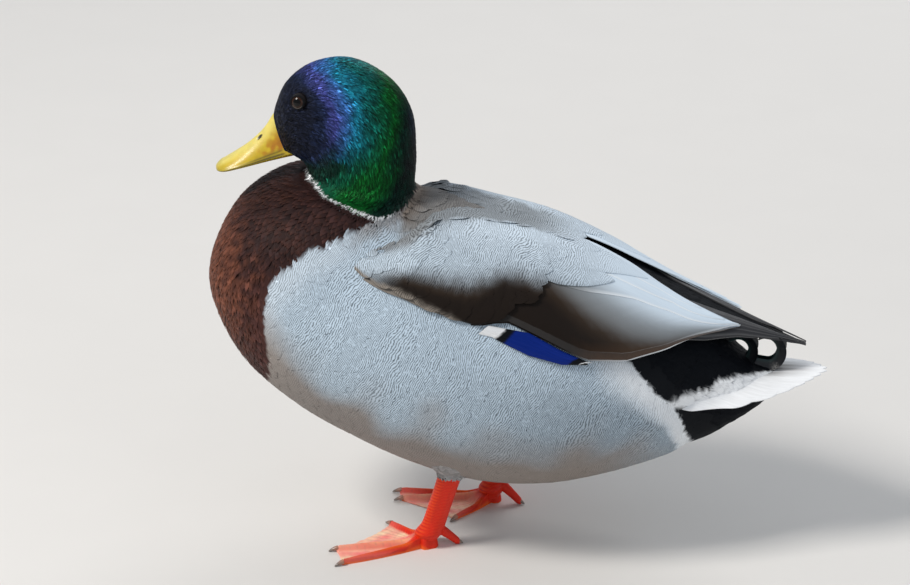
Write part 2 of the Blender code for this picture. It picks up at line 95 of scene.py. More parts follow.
def plain(colour: Array | Colour, points: Array) -> Array:
    """One colour for every point."""
    return np.broadcast_to(np.array(colour), points.shape)


def square_to(way: Array) -> tuple[Array, Array]:
    """Two unit vectors square to a way: one level, and one above it."""
    level = unit(np.cross(way, (0.0, 0.0, 1.0)))
    return level, np.cross(level, way)


def bell(value: Array, middle: float, width: float) -> Array:
    """A bell curve: 1 at the middle, and e times less at a width from it."""
    return np.exp(-(((value - middle) / width) ** 2))


def crowded(count: int, power: float) -> Array:
    """Shares from 0 to 1 that crowd together towards 1."""
    return 1 - (1 - np.linspace(0, 1, count)) ** power


def all_round(count: int) -> Array:
    """Even angles round a circle."""
    return np.arange(count) / count * TAU


def from_back(turn: Array) -> Array:
    """The angle from the middle of the back, from 0 to 180 degrees on either side."""
    return np.degrees(np.arccos(np.cos(turn)))


def ripple(points: Array, scale: float, seed: int) -> Array:
    """A smooth random value from about -1 to 1 with crests a scale apart: a sum of sine waves."""
    waves, height = 8, 3.2
    maker = np.random.default_rng(seed)
    ways = unit(maker.normal(size=(waves, 3))) * maker.uniform(0.6, 1.6, (waves, 1)) * TAU / scale
    return np.sin(points @ ways.T + maker.uniform(0, TAU, waves)).sum(axis=-1) / height


def through(table: Array, at: Array) -> Array:
    """Rows of a table at fractional row numbers, on a Catmull-Rom curve through them."""
    at = np.asarray(at, float)
    first = np.clip(np.floor(at).astype(int), 0, len(table) - 2)
    t = (at - first)[..., None]
    before, start, end, after = (table[np.clip(first + k, 0, len(table) - 1)] for k in (-1, 0, 1, 2))
    return 0.5 * (
        2 * start
        + (end - before) * t
        + (2 * before - 5 * start + 4 * end - after) * t**2
        + (3 * start - before - 3 * end + after) * t**3
    )


def knots(table: Knots, at: Array, column: int = 1) -> Array:
    """A column of a table of knots, read between them at values of its first column."""
    rows = np.asarray(table, float)
    return np.interp(at, rows[:, 0], rows[:, column])


# ---- meshes


@dataclass
class Form:
    """Points and faces of a mesh, with maps for each face corner, and colours and values for each point."""

    points: Array
    faces: list[Array]
    maps: dict[str, Array] = field(default_factory=dict)
    tint: Array = field(default_factory=lambda: np.zeros((0, 3)))
    values: dict[str, Array] = field(default_factory=dict)

    def corners(self) -> Array:
        """Point numbers of all face corners, in order."""
        return np.concatenate([face.ravel() for face in self.faces])


def joined(forms: list[Form]) -> Form:
    """One form that holds several with the same maps and values."""
    starts = np.cumsum([0] + [len(form.points) for form in forms[:-1]])
    whole = Form(np.concatenate([form.points for form in forms]), [])
    for form, start in zip(forms, starts):
        whole.faces += [face + start for face in form.faces]
    for name in forms[0].maps:
        whole.maps[name] = np.concatenate([form.maps[name] for form in forms])
    for name in forms[0].values:
        whole.values[name] = np.concatenate([form.values[name] for form in forms])
    whole.tint = np.concatenate([form.tint for form in forms])
    return whole


def add_piece(
    name: str, form: Form, finish: Finish, slot: str, nodes: tuple[str, ...] = (), sharp: float = 60.0
) -> None:
    """Makes a form into an object that rides on the bird.

    Args:
        name: the piece's name.
        form: its shape, in millimetres.
        finish: its surface.
        slot: the name of a material slot; not used.
        nodes: solids that it stands for.
        sharp: edges that bend by more than this many degrees stay crisp.
    """
    mesh = bpy.data.meshes.new(name)
    corners = form.corners()
    sizes = np.concatenate([np.full(len(face), face.shape[1]) for face in form.faces])
    mesh.vertices.add(len(form.points))
    mesh.vertices.foreach_set("co", (form.points * MM).astype(np.float32).ravel())
    mesh.loops.add(len(corners))
    mesh.loops.foreach_set("vertex_index", corners.astype(np.int32))
    mesh.polygons.add(len(sizes))
    mesh.polygons.foreach_set("loop_start", np.concatenate(([0], np.cumsum(sizes)[:-1])).astype(np.int32))
    for map_name, places in form.maps.items():
        layer = mesh.uv_layers.new(name=map_name)
        layer.data.foreach_set("uv", places.astype(np.float32).ravel())
    layer = mesh.attributes.new("Tint", "FLOAT_COLOR", "POINT")
    colours = np.concatenate((form.tint, np.ones((len(form.tint), 1))), axis=1)
    layer.data.foreach_set("color", colours.astype(np.float32).ravel())
    for value_name, numbers in form.values.items():
        layer = mesh.attributes.new(value_name, "FLOAT", "POINT")
        layer.data.foreach_set("value", numbers.astype(np.float32).ravel())
    mesh.update(calc_edges=True)
    mesh.validate()
    mesh.shade_smooth()
    mesh.set_sharp_from_angle(angle=math.radians(sharp))
    made = bpy.data.objects.new(name, mesh)
    bpy.context.scene.collection.objects.link(made)
    mesh.materials.append(finish.material())
    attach(made, ROOT)
    if nodes:
        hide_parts(*nodes)
    log.info("%s: %d triangles", name, (sizes - 2).sum())


def signed_volume(points: Array) -> Array:
    """Six times the volume inside each tube of closed loops, negative where its faces point inwards."""
    nearby = points - points[:, :1, :1]
    after = np.roll(nearby, -1, axis=2)
    a, b, c, d = nearby[:, :-1], after[:, :-1], after[:, 1:], nearby[:, 1:]
    return np.einsum("trnk,trnk->t", (a + b + c + d) / 4, np.cross(c - a, d - b))


def swept(points: Array, maps: dict[str, Array], tint: Array, values: dict[str, Array]) -> Form:
    """Many closed tubes at once, each carried through rows of closed loops, with both ends capped.

    Args:
        points: places with the shape (tubes, rows, round the loop, 3).
        maps: places on flat maps, with the shape (tubes, rows, round the loop, 2).
        tint: colours with the shape (tubes, rows, round the loop, 3).
        values: numbers with the shape (tubes, rows, round the loop).

    Returns:
        The form, with every tube facing outwards.
    """
    turned = signed_volume(points) < 0

    def facing(grid: Array) -> Array:
        """A grid with the loops of the inside-out tubes reversed."""
        grid = grid.copy()
        grid[turned] = grid[turned][:, :, ::-1]
        return grid

    tubes, rows, around = points.shape[:3]
    number = np.arange(tubes * rows * around).reshape(tubes, rows, around)
    beside = np.roll(number, -1, axis=2)
    sides = np.stack((number[:, :-1], beside[:, :-1], beside[:, 1:], number[:, 1:]), axis=-1).reshape(-1, 4)
    form = Form(facing(points).reshape(-1, 3), [sides, number[:, 0, ::-1], number[:, -1]])
    corners = form.corners()
    form.maps = {name: facing(places).reshape(-1, 2)[corners] for name, places in maps.items()}
    form.tint = facing(tint).reshape(-1, 3)
    form.values = {name: facing(numbers).reshape(-1) for name, numbers in values.items()}
    return form


def one_tube(rings: Array, tint: Array, unwrap: Array | None = None) -> Form:
    """A single closed tube through rings of points.

    Args:
        rings: places with the shape (rows, round the ring, 3).
        tint: colours with the shape (rows, round the ring, 3).
        unwrap: places of the rows' corners on the baking map, with one column more than the ring,
            or none for an even square.

    Returns:
        The tube as a form, with OFBake as its map.
    """
    rows, around = rings.shape[:2]
    if unwrap is None:
        across, along = np.meshgrid(np.linspace(0.02, 0.98, around + 1), np.linspace(0.02, 0.98, rows))
        unwrap = np.stack((across, along), axis=-1)
    if signed_volume(rings[None])[0] < 0:
        rings = np.roll(rings[:, ::-1], 1, axis=1)
        unwrap = unwrap[:, ::-1]
        tint = np.roll(tint[:, ::-1], 1, axis=1)
    form = swept(rings[None], {}, tint[None], {})
    sides = np.stack((unwrap[:-1, :-1], unwrap[:-1, 1:], unwrap[1:, 1:], unwrap[1:, :-1]), axis=2)
    form.maps["OFBake"] = np.concatenate((sides.reshape(-1, 2), unwrap[0, :-1][::-1], unwrap[-1, :-1]))
    return form


# ---- nodes and finishes


class Wire:
    """A socket of a material, on which Python's operators add Math nodes."""

    def __init__(self, tree: Tree, socket: bpy.types.NodeSocket) -> None:
        """Keeps the tree and its socket."""
        self.tree = tree
        self.socket = socket

    def joined_by(self, operation: str, first: Wire | float, second: Wire | float) -> Wire:
        """The result of a Math node on two values."""
        return self.tree.put("ShaderNodeMath", {"operation": operation}, {0: first, 1: second})

    def __add__(self, other: Wire | float) -> Wire:
        """Sum."""
        return self.joined_by("ADD", self, other)

    def __sub__(self, other: Wire | float) -> Wire:
        """Difference."""
        return self.joined_by("SUBTRACT", self, other)

    def __rsub__(self, other: float) -> Wire:
        """Difference from a number."""
        return self.joined_by("SUBTRACT", other, self)

    def __mul__(self, other: Wire | float) -> Wire:
        """Product."""
        return self.joined_by("MULTIPLY", self, other)

    def sine(self) -> Wire:
        """Sine of an angle in radians."""
        return self.tree.put("ShaderNodeMath", {"operation": "SINE"}, {0: self})

    def ramp(self, low: float, high: float) -> Wire:
        """An S-shaped rise from 0 at low to 1 at high."""
        return self.tree.put(
            "ShaderNodeMapRange", {"interpolation_type": "SMOOTHSTEP"}, {0: self, 1: low, 2: high}
        )


class Tree:
    """The nodes of one material."""

    def __init__(self, name: str) -> None:
        """Starts an empty material with this name."""
        self.material = bpy.data.materials.new(name)
        self.material.use_nodes = True
        self.material.node_tree.nodes.clear()

    def put(self, kind: str, settings: dict, sockets: dict, output: int | str = 0) -> Wire:
        """Adds a node.

        Args:
            kind: the node's type.
            settings: its properties, which are set first.
            sockets: values or wires for its inputs, by name or number.
            output: the output that is wanted.

        Returns:
            The wire from that output.
        """
        node = self.material.node_tree.nodes.new(kind)
        for name, value in settings.items():
            setattr(node, name, value)
        for name, value in sockets.items():
            if isinstance(value, Wire):
                self.material.node_tree.links.new(value.socket, node.inputs[name])
            else:
                node.inputs[name].default_value = value
        return Wire(self, node.outputs[output])

    def attribute(self, name: str, output: str = "Fac") -> Wire:
        """A value or colour that each point of the mesh carries."""
        return self.put("ShaderNodeAttribute", {"attribute_name": name}, {}, output)

    def place(self) -> Wire:
        """The place on the bird, in metres."""
        return self.put("ShaderNodeTexCoord", {}, {}, "Object")

    def noise(self, size: float, detail: float = 2.0, where: Wire | None = None) -> Wire:
        """Smooth noise from 0 to 1 with features of a size in metres, at the place or at a vector."""
        sockets = {"Vector": where or self.place(), "Scale": 1.0 / size, "Detail": detail}
        return self.put("ShaderNodeTexNoise", {}, sockets, "Fac")

    def shade(self, colour: Wire | Colour, factor: Wire) -> Wire:
        """A colour multiplied by a value."""
        return self.put(
            "ShaderNodeVectorMath", {"operation": "SCALE"}, {"Vector": colour, "Scale": factor}, "Vector"
        )

    def bump(self, height: Wire, distance: float, strength: float = 1.0) -> Wire:
        """A normal tilted by a height from 0 to 1 over a depth in metres."""
        return self.put(
            "ShaderNodeBump", {}, {"Height": height, "Distance": distance, "Strength": strength}, "Normal"
        )

    def finish(self, sockets: dict) -> bpy.types.Material:
        """Closes the material with a Principled shader of these inputs."""
        shader = self.put("ShaderNodeBsdfPrincipled", {}, sockets)
        output = self.material.node_tree.nodes.new("ShaderNodeOutputMaterial")
        self.material.node_tree.links.new(shader.socket, output.inputs["Surface"])
        return self.material


@dataclass(frozen=True)
class Finish:
    """A surface whose colour comes from its points, mottled and grained."""

    name: str
    roughness: float = 0.5
    mottle: float = 0.15  # share by which the mottling darkens
    mottle_size: float = 0.003
    grain: float = 0.0001  # depth of the grain, in metres
    grain_size: float = 0.0006
    coat: float = 0.0
    metallic: float = 0.0
    glow: float = 0.0  # light that soaks into the surface
    gloss: float = 0.5  # strength of its mirror part, 0.5 for horn and skin, less for downy feathers

    def material(self) -> bpy.types.Material:
        """The finish as a material, made once."""
        made = bpy.data.materials.get(self.name)
        return made or self.build(Tree(self.name))

    def colour(self, tree: Tree) -> Wire:
        """The colour of the points, darkened in soft spots."""
        spots = tree.noise(self.mottle_size, 4.0).ramp(0.35, 0.7)
        return tree.shade(tree.attribute("Tint", "Color"), 1.0 - spots * self.mottle)

    def normal(self, tree: Tree) -> Wire:
        """The grain as a bump."""
        return tree.bump(tree.noise(self.grain_size, 2.0), self.grain)

    def build(self, tree: Tree) -> bpy.types.Material:
        """Puts the nodes together."""
        wear = tree.noise(self.mottle_size * 2.5, 2.0)
        sockets = {
            "Base Color": self.colour(tree),
            "Roughness": wear * 0.16 + (self.roughness - 0.08),
            "Normal": self.normal(tree),
            "Metallic": self.metallic,
            "Specular IOR Level": self.gloss,
            "Coat Weight": self.coat,
            "Coat Roughness": 0.12,
            "Subsurface Weight": self.glow,
            "Subsurface Radius": (0.004, 0.0016, 0.0008),
            "Subsurface Scale": 1.0,
        }
        return tree.finish(sockets)


@dataclass(frozen=True)
class FeatherFinish(Finish):
    """Feathers: barbs that run out from the shaft, and fine wavy cross lines where they are marked."""

    barbs: float = 0.22  # share by which the barbs shade
    pitch: float = 0.0012  # from one wavy line to the next, in metres
    contrast: float = 0.0  # how dark the lines are

    def barb_pattern(self, tree: Tree) -> Wire:
        """Streaks that sweep outwards from the shaft towards the tip, different on each feather."""
        flat = tree.put("ShaderNodeUVMap", {"uv_map": "Feather"}, {}, "UV")
        split = tree.put("ShaderNodeSeparateXYZ", {}, {0: flat}, "X")
        u = split - 0.5
        side = tree.put("ShaderNodeMath", {"operation": "ABSOLUTE"}, {0: u})
        v = Wire(tree, split.socket.node.outputs["Y"])
        run = v - side * 0.6
        where = tree.put(
            "ShaderNodeCombineXYZ", {}, {0: run * 22.0, 1: side * 2.5, 2: tree.attribute("Chance") * 37.0}
        )
        return tree.put("ShaderNodeTexNoise", {}, {"Vector": where, "Scale": 1.0, "Detail": 3.0}, "Fac")

    def lines(self, tree: Tree) -> Wire:
        """Wavy cross lines: a sine along the feather, bent by coarse and fine noise and broken in places."""
        bent = (tree.noise(0.018, 1.0) - 0.5) * 30.0 + (tree.noise(0.0030, 1.0) - 0.5) * 9.0
        wave = (tree.attribute("Run") * (TAU * MM / self.pitch) + bent).sine()
        broken = tree.noise(0.0016, 1.0).ramp(0.22, 0.50)
        return wave.ramp(-0.35, 0.8) * broken

    def colour(self, tree: Tree) -> Wire:
        """The colour of the points with barbs and wavy lines."""
        barbs = (self.barb_pattern(tree) - 0.5) * (2.0 * self.barbs) + 1.0
        lined = tree.attribute("Bars") * self.lines(tree) * self.contrast
        return tree.shade(tree.attribute("Tint", "Color"), barbs * (1.0 - lined))

    def normal(self, tree: Tree) -> Wire:
        """The barbs as a bump."""
        return tree.bump(self.barb_pattern(tree), self.grain, 0.8)


# ---- surfaces


@dataclass(frozen=True)
class Section:
    """One section of the body: its back and belly points in the X-Z plane, and its shape across."""

    back: tuple[float, float]
    belly: tuple[float, float]
    half_width: float
    widest: float
    upper: float
    lower: float


def rows_of(*rows: tuple) -> tuple[Section, ...]:
    """Sections from rows of their values."""
    return tuple(Section(*row) for row in rows)


BODY = rows_of(
    ((163, 122), (163, 102), 11, 0.5, 2.0, 2.0),
    ((147, 127), (149, 91), 25, 0.5, 2.0, 2.0),
    ((124, 149), (125, 74.5), 34.5, 0.5, 2.2, 2.0),
    ((109, 157.5), (110, 68), 42, 0.5, 2.2, 2.0),
    ((95, 165), (96, 61.5), 55, 0.46, 2.05, 2.0),
    ((60, 188), (60, 49.5), 70, 0.44, 2.0, 2.0),
    ((20, 208), (20, 41.5), 80, 0.44, 2.0, 2.05),
    ((-20, 222), (-24, 42.5), 83, 0.44, 2.0, 2.1),
    ((-46, 228.3), (-66, 53.5), 83, 0.46, 2.0, 2.1),
    ((-53, 229.6), (-106, 71), 81, 0.47, 2.0, 2.1),
    ((-57, 230.4), (-143, 92), 77.5, 0.47, 1.95, 2.1),
    ((-60, 231.1), (-179, 125), 72, 0.46, 1.9, 2.15),
    ((-62.4, 231.9), (-198, 172), 65, 0.46, 1.9, 2.2),
    ((-64.4, 233), (-186, 213), 56, 0.47, 1.95, 2.3),
    ((-65.8, 234.8), (-162, 237), 44, 0.5, 2.0, 2.3),
    ((-66.4, 238), (-136, 245), 35, 0.5, 2.1, 2.2),
    ((-65.2, 258), (-134.4, 248.2), 32, 0.5, 2.1, 2.2),
    ((-68, 286), (-135.4, 250.6), 29.5, 0.47, 2.1, 2.2),
    ((-82, 307.5), (-137.3, 252.6), 27.5, 0.45, 2.1, 2.2),
    ((-106, 319.8), (-139.4, 254.2), 26, 0.46, 2.1, 2.2),
    ((-130, 316.5), (-141.6, 255.3), 23.5, 0.5, 2.1, 2.2),
    ((-147.5, 303), (-143.8, 256), 18, 0.5, 2.1, 2.2),
    ((-155.5, 283.5), (-146, 256.2), 11.5, 0.45, 2.1, 2.4),
)
BILL_ROOT = len(BODY) - 1
WING_BED = rows_of(
    ((184, 136), (184, 122), 7, 0.5, 2.0, 2.0),
    ((161, 145.5), (161, 105), 18, 0.5, 2.0, 2.0),
    ((141, 154), (141, 90), 30, 0.5, 2.0, 2.0),
    ((99, 173), (99, 62), 57, 0.46, 2.0, 2.0),
    ((60, 194), (60, 49.5), 72, 0.44, 2.0, 2.0),
    ((20, 211.5), (20, 41.5), 81, 0.44, 2.0, 2.05),
) + BODY[7:14]


class Surface:
    """A surface that feathers grow on: places (at, turn) where at falls towards the feathers' tips."""

    step = (0.02, 0.02)  # of at and turn, over which directions are measured
    lowest = 0.0  # the feathers' tips don't go below this
    hand = 1.0  # -1 where turn grows the other way round

    def point(self, at: Array, turn: Array, grow: Array | float = 0.0) -> Array:
        """Places in millimetres, raised from the surface by grow."""
        raise NotImplementedError

    def unwrap(self, at: Array, turn: Array) -> Array:
        """Places on the baking map."""
        raise NotImplementedError

    def frame(self, at: Array, turn: Array) -> tuple[Array, Array, Array, Array, Array]:
        """The point, the ways to the tail and outwards, and millimetres for a unit of at and of turn."""
        ds, dt = self.step
        along = (self.point(at - ds, turn) - self.point(at + ds, turn)) / (2 * ds)
        beside = (self.point(at, turn + dt) - self.point(at, turn - dt)) / (2 * dt)
        normal = unit(np.cross(along, beside))
        fore, across = np.linalg.norm(along, axis=-1), np.linalg.norm(beside, axis=-1)
        return self.point(at, turn), unit(along), normal, fore, across

    def walk(
        self, at: Array, turn: Array, lengths: Array, shares: Array, drift: Array
    ) -> tuple[Array, Array]:
        """Steps from each root along the lie of the coat.

        Args:
            at: section numbers of the roots.
            turn: their angles or shares across.
            lengths: how far to go, in millimetres.
            shares: shares of the length at which places are wanted.
            drift: angles in radians by which the way turns towards greater turn.

        Returns:
            Section numbers and angles with the shape (roots, shares).
        """
        path = [(at, turn)]
        for before, after in zip(shares, shares[1:]):
            for _ in range(2):
                stride = lengths * (after - before) / 2
                _, _, _, fore, across = self.frame(at, turn)
                at = np.maximum(at - np.minimum(stride * np.cos(drift) / fore, 0.8), self.lowest)
                turn = turn + stride * np.sin(drift) / np.maximum(across, 1.0)
            path.append((at, turn))
        return np.stack([p[0] for p in path], -1), np.stack([p[1] for p in path], -1)

    def scatter(self, window: tuple, spacing: float, keep: Test | None = None) -> tuple[Array, Array]:
        """Evenly spread places: a plane-filling sequence mapped through the surface's own area.

        Args:
            window: lowest and highest at, then lowest and highest turn.
            spacing: distance between neighbours, in millimetres.
            keep: tells where places may be.

        Returns:
            Section numbers and angles.
        """
        rows, columns = 220, 160
        at = np.linspace(window[0], window[1], rows + 1)
        turn = np.linspace(window[2], window[3], columns + 1)
        mid_at, mid_turn = np.meshgrid((at[1:] + at[:-1]) / 2, (turn[1:] + turn[:-1]) / 2, indexing="ij")
        corners = self.point(*np.meshgrid(at, turn, indexing="ij"))
        one, two = corners[1:, 1:] - corners[:-1, :-1], corners[1:, :-1] - corners[:-1, 1:]
        area = np.linalg.norm(np.cross(one, two), axis=-1) / 2
        if keep is not None:
            area = area * keep(mid_at, mid_turn)
        count = int(area.sum() / spacing**2)
        order = np.arange(count) + 0.5
        first, second = (order * step % 1.0 for step in PLANE_STEPS)
        by_row = np.concatenate(([0.0], np.cumsum(area.sum(axis=1)))) / area.sum()
        place = np.interp(first, by_row, np.arange(rows + 1))
        row = np.minimum(place.astype(int), rows - 1)
        in_row = np.cumsum(area, axis=1)
        in_row = np.concatenate((np.zeros((rows, 1)), in_row), axis=1) / np.maximum(in_row[:, -1:], 1e-9)
        reached = in_row[row]
        column = np.clip((reached <= second[:, None]).sum(axis=1) - 1, 0, columns - 1)
        pick = np.arange(count)
        low, high = reached[pick, column], reached[pick, column + 1]
        across = column + (second - low) / np.maximum(high - low, 1e-9)
        return np.interp(place, np.arange(rows + 1), at), np.interp(across, np.arange(columns + 1), turn)


class Tube(Surface):
    """A body form through sections, each an oval of its own fullness above and below."""

    def __init__(self, sections: tuple[Section, ...], lowest: float = 0.0) -> None:
        """Keeps the sections as a table, and how near the tail end a feather's tip may come."""
        rows = [(*s.back, *s.belly, s.half_width, s.widest, s.upper, s.lower) for s in sections]
        self.table = np.array(rows, float)
        self.lowest = lowest

    def point(self, at: Array, turn: Array, grow: Array | float = 0.0) -> Array:
        """The oval's point: |sin| and |cos| of the turn, raised to 2 / fullness, times its half sizes."""
        row = through(self.table, at)
        back, belly = row[..., 0:2], row[..., 2:4]
        half, widest, upper, lower = (row[..., k] for k in range(4, 8))
        depth = np.linalg.norm(back - belly, axis=-1)
        rise = (back - belly) / depth[..., None]
        cosine, sine = np.cos(turn), np.sin(turn)
        power = 2 / np.where(cosine > 0, upper, lower)
        reach = np.where(cosine > 0, 1 - widest, widest) * depth + grow
        height = widest * depth + np.sign(cosine) * np.abs(cosine) ** power * reach
        across = (half + grow) * np.abs(sine) ** power * np.sign(sine)
        flat = belly + rise * height[..., None]
        return np.stack((flat[..., 0], across, flat[..., 1]), axis=-1)

    def unwrap(self, at: Array, turn: Array) -> Array:
        """Turn across the map and section number up it."""
        turn = np.where(turn > math.pi, turn - TAU, turn)
        return np.stack((0.5 + turn / TAU * 0.98, 0.01 + at / BILL_ROOT * 0.98), axis=-1)


BIRD = Tube(BODY, lowest=-0.35)
BED = Tube(WING_BED, lowest=-0.3)


class WingPatch(Surface):
    """One layer of a folded wing: at along the bed, and a share from its upper to its lower edge."""

    step = (0.02, 0.01)
    lowest = -0.1

    def __init__(self, side: str, edges: tuple, layer: tuple[tuple[float, float, float], ...]) -> None:
        """Keeps the layer's edges, and knots of the heights of its under and outer sides above the bed."""
        self.hand = SIDES[side]
        self.edges = edges
        self.layer = layer

    def height(self, at: Array, turn: Array) -> Array:
        """How far the outer side stands above the bed: less towards the edges, and sunk at the front end."""
        under, over = knots(self.layer, at), knots(self.layer, at, 2)
        crown = 0.35 + 0.65 * np.sin(math.pi * np.clip(turn, 0, 1)) ** 0.6
        crown = crown * ease(-0.22, 0.02, turn) * ease(11.2, 8.4, at)
        return under + (over - under) * crown - 2.2 * ease(9.4, 11.2, at)

    def angle(self, at: Array, turn: Array) -> Array:
        """The angle round the bed, in radians."""
        top, bottom = knots(self.edges, at), knots(self.edges, at, 2)
        return np.radians(top + (bottom - top) * turn) * self.hand

    def point(self, at: Array, turn: Array, grow: Array | float = 0.0) -> Array:
        """The outer side, raised by grow."""
        return BED.point(at, self.angle(at, turn), self.height(at, turn) + grow)

    def frame(self, at: Array, turn: Array) -> tuple[Array, Array, Array, Array, Array]:
        """As for any surface, with the left wing's normal turned to face outwards."""
        point, along, normal, fore, across = super().frame(at, turn)
        return point, along, normal * self.hand, fore, across

    def unwrap(self, at: Array, turn: Array) -> Array:
        """Share across the map and section number up it."""
        return np.stack((0.02 + 0.96 * np.clip(turn, 0, 1), 0.02 + at / len(WING_BED) * 0.96), axis=-1)


# each layer's edges: a section number, then the degrees from the back of its upper and its lower edge
COVERT_EDGES = (
    (4.35, 7, 64.5), (5.0, 8, 60), (5.5, 9, 56), (5.75, 10, 57.5), (6.0, 11, 60), (7.0, 18, 60),
    (8.0, 25, 60), (9.0, 34, 61), (10.0, 44, 62), (11.0, 56, 63),
)
TERTIAL_EDGES = ((2.0, 24.5, 26), (2.3, 20, 36), (2.7, 15, 45), (3.1, 11, 54), (3.7, 8, 63), (4.33, 7, 66))
# how far back the scapulars reach: a share across the wing and a section number
SCAPULAR_REAR = ((0.0, 4.9), (0.35, 5.3), (0.5, 5.35), (0.76, 5.55), (1.0, 6.1))
PRIMARY_EDGES = (
    (0.05, 2, 11), (0.25, 3, 15), (0.5, 5, 24), (1.0, 7, 31), (1.5, 8, 33), (2.0, 8, 36), (2.5, 10, 44),
    (3.0, 12, 46), (3.8, 18, 54),
)
SPECULUM_EDGES = ((4.3, 65.5, 67.0), (4.7, 63, 68.5), (5.2, 58.5, 67.0), (5.75, 58.5, 62.5))
WING_EDGES = (*TERTIAL_EDGES[:-1], (4.33, 7, 65.3), *COVERT_EDGES[1:])
# the heights of a wing's under and outer sides above the bed
WING_LAYER = ((2.0, 3.2, 6.6), (4.2, 3.2, 6.6), (5.2, 0.5, 7.0), (11.0, 0.5, 7.0))


# ---- feathers


class Tip(Enum):
    """The outline of a feather's free end, as the powers of 1 - share ** a, raised to b."""

    ROUND = (2.0, 0.5)
    POINTED = (1.3, 1.0)


@dataclass(frozen=True)
class Vane:
    """Outline and section shared by the feathers of one kind."""

    tip: Tip
    columns: int = 5
    rows: int = 7
    root: float = 0.4  # half-width at the root as a share of the widest
    widest: float = 0.6  # place of the widest part along the feather
    camber: float = 0.14  # rise of the middle above the edges as a share of the half-width
    under: float = 60.0  # radius of the body under it, in millimetres

    def shares(self) -> Array:
        """Places of the rows along the feather, closer together towards the tip."""
        return crowded(self.rows, 1.5)

    def widths(self) -> Array:
        """Half-widths of the rows as shares of the widest: a quarter sine, then the tip's outline."""
        share = self.shares()
        rise = self.root + (1 - self.root) * np.sin(0.5 * math.pi * np.clip(share / self.widest, 0, 1))
        past = np.clip((share - self.widest) / (1 - self.widest), 0, 1)
        one, two = self.tip.value
        return np.maximum(rise * (1 - past**one) ** two, 0.06)

    def lay(
        self,
        surface: Surface,
        at: Array,
        turn: Array,
        half: Array,
        low: Array,
        high: Array,
        ragged: float = 0.0,
    ) -> tuple[Array, Array, Array, dict[str, Array]]:
        """Lays feathers on a surface along their paths, as rows of shallow arches on a flat underside.

        Args:
            surface: what they lie on.
            at: section numbers with the shape (feathers, rows).
            turn: angles with the same shape.
            half: greatest half-widths.
            low: heights of the roots above the surface.
            high: heights of the tips.
            ragged: random shift of the edges along the feather.

        Returns:
            Points with the shape (feathers, rows, columns, 3), their section numbers and angles, and the
            maps Feather and OFBake.
        """
        point, _, normal, _, across_mm = surface.frame(at, turn)
        along = unit(np.gradient(point, axis=1))
        beside = unit(np.cross(normal, along))
        share, across = self.shares(), np.linspace(-1, 1, self.columns)
        wide = half[:, None] * self.widths()
        height = low[:, None] + (high - low)[:, None] * share**0.8
        aside = across * wide[..., None]
        arch = (1 - across**2) * self.camber * wide[..., None] - aside**2 / (2 * self.under)
        offset = aside[..., None] * beside[:, :, None]
        raised = (height[..., None] + arch)[..., None] * normal[:, :, None]
        places = point[:, :, None] + offset + raised
        if ragged:
            maker = np.random.default_rng(len(at))
            shift = maker.normal(0, ragged, (len(at), 1, self.columns)) * share[:, None] ** 3
            places = places + shift[..., None] * along[:, :, None]
        grid = np.broadcast_to(across, places.shape[:3])
        run = np.broadcast_to(share[None, :, None], places.shape[:3])
        flat = np.stack((grid * 0.5 + 0.5, run), axis=-1)
        root = surface.unwrap(at[:, :1], turn[:, :1])[:, :, None]
        turns = turn[:, :, None] + aside * surface.hand / across_mm[..., None]
        maps = {"OFBake": root + (flat - 0.5) * PATCH, "Feather": flat}
        return places, np.broadcast_to(at[:, :, None], turns.shape), turns, maps


@dataclass(frozen=True)
class Cover:
    """A stretch of coat: where its feathers grow, and what they are like."""

    name: str
    finish: FeatherFinish
    slot: str
    vane: Vane
    window: tuple[float, float, float, float]  # at from and to, turn from and to
    spacing: float
    length: float
    half_width: float
    depth: float  # how deep the roots lie under the outline
    seed: int
    spread: float = 0.12  # random turn of each feather, in radians
    lift: float = 0.35  # random depth of the tips, in millimetres
    ragged: float = 0.0

    def grow(
        self, surface: Surface, paint: Paint, keep: Test | None = None, scale: Test | None = None
    ) -> Form:
        """Grows the feathers of this stretch.

        Args:
            surface: what they grow on.
            paint: colours them, from points, at, turn, flat places and the random generator.
            keep: tells where roots may be.
            scale: gives the share by which sizes change.

        Returns:
            All the feathers as one form.
        """
        maker = np.random.default_rng(self.seed)
        at, turn = surface.scatter(self.window, self.spacing, keep)
        size = np.ones(len(at)) if scale is None else scale(at, turn)
        lengths = self.length * size * maker.uniform(0.85, 1.15, len(at))
        drift = maker.normal(0, self.spread, len(at))
        path_at, path_turn = surface.walk(at, turn, lengths, self.vane.shares(), drift)
        half = self.half_width * size * maker.uniform(0.88, 1.12, len(at))
        high = -self.lift * maker.uniform(0, 2, len(at)) * size
        low = -self.depth * size
        places, at, turn, maps = self.vane.lay(surface, path_at, path_turn, half, low, high, self.ragged)
        tint, bars, run = paint(places, at, turn, maps["Feather"], maker)
        chance = np.broadcast_to(maker.random((len(at), 1, 1)), places.shape[:3])
        values = {"Bars": bars, "Run": run, "Chance": chance}
        return swept(places, maps, tint, values)


# ---- markings


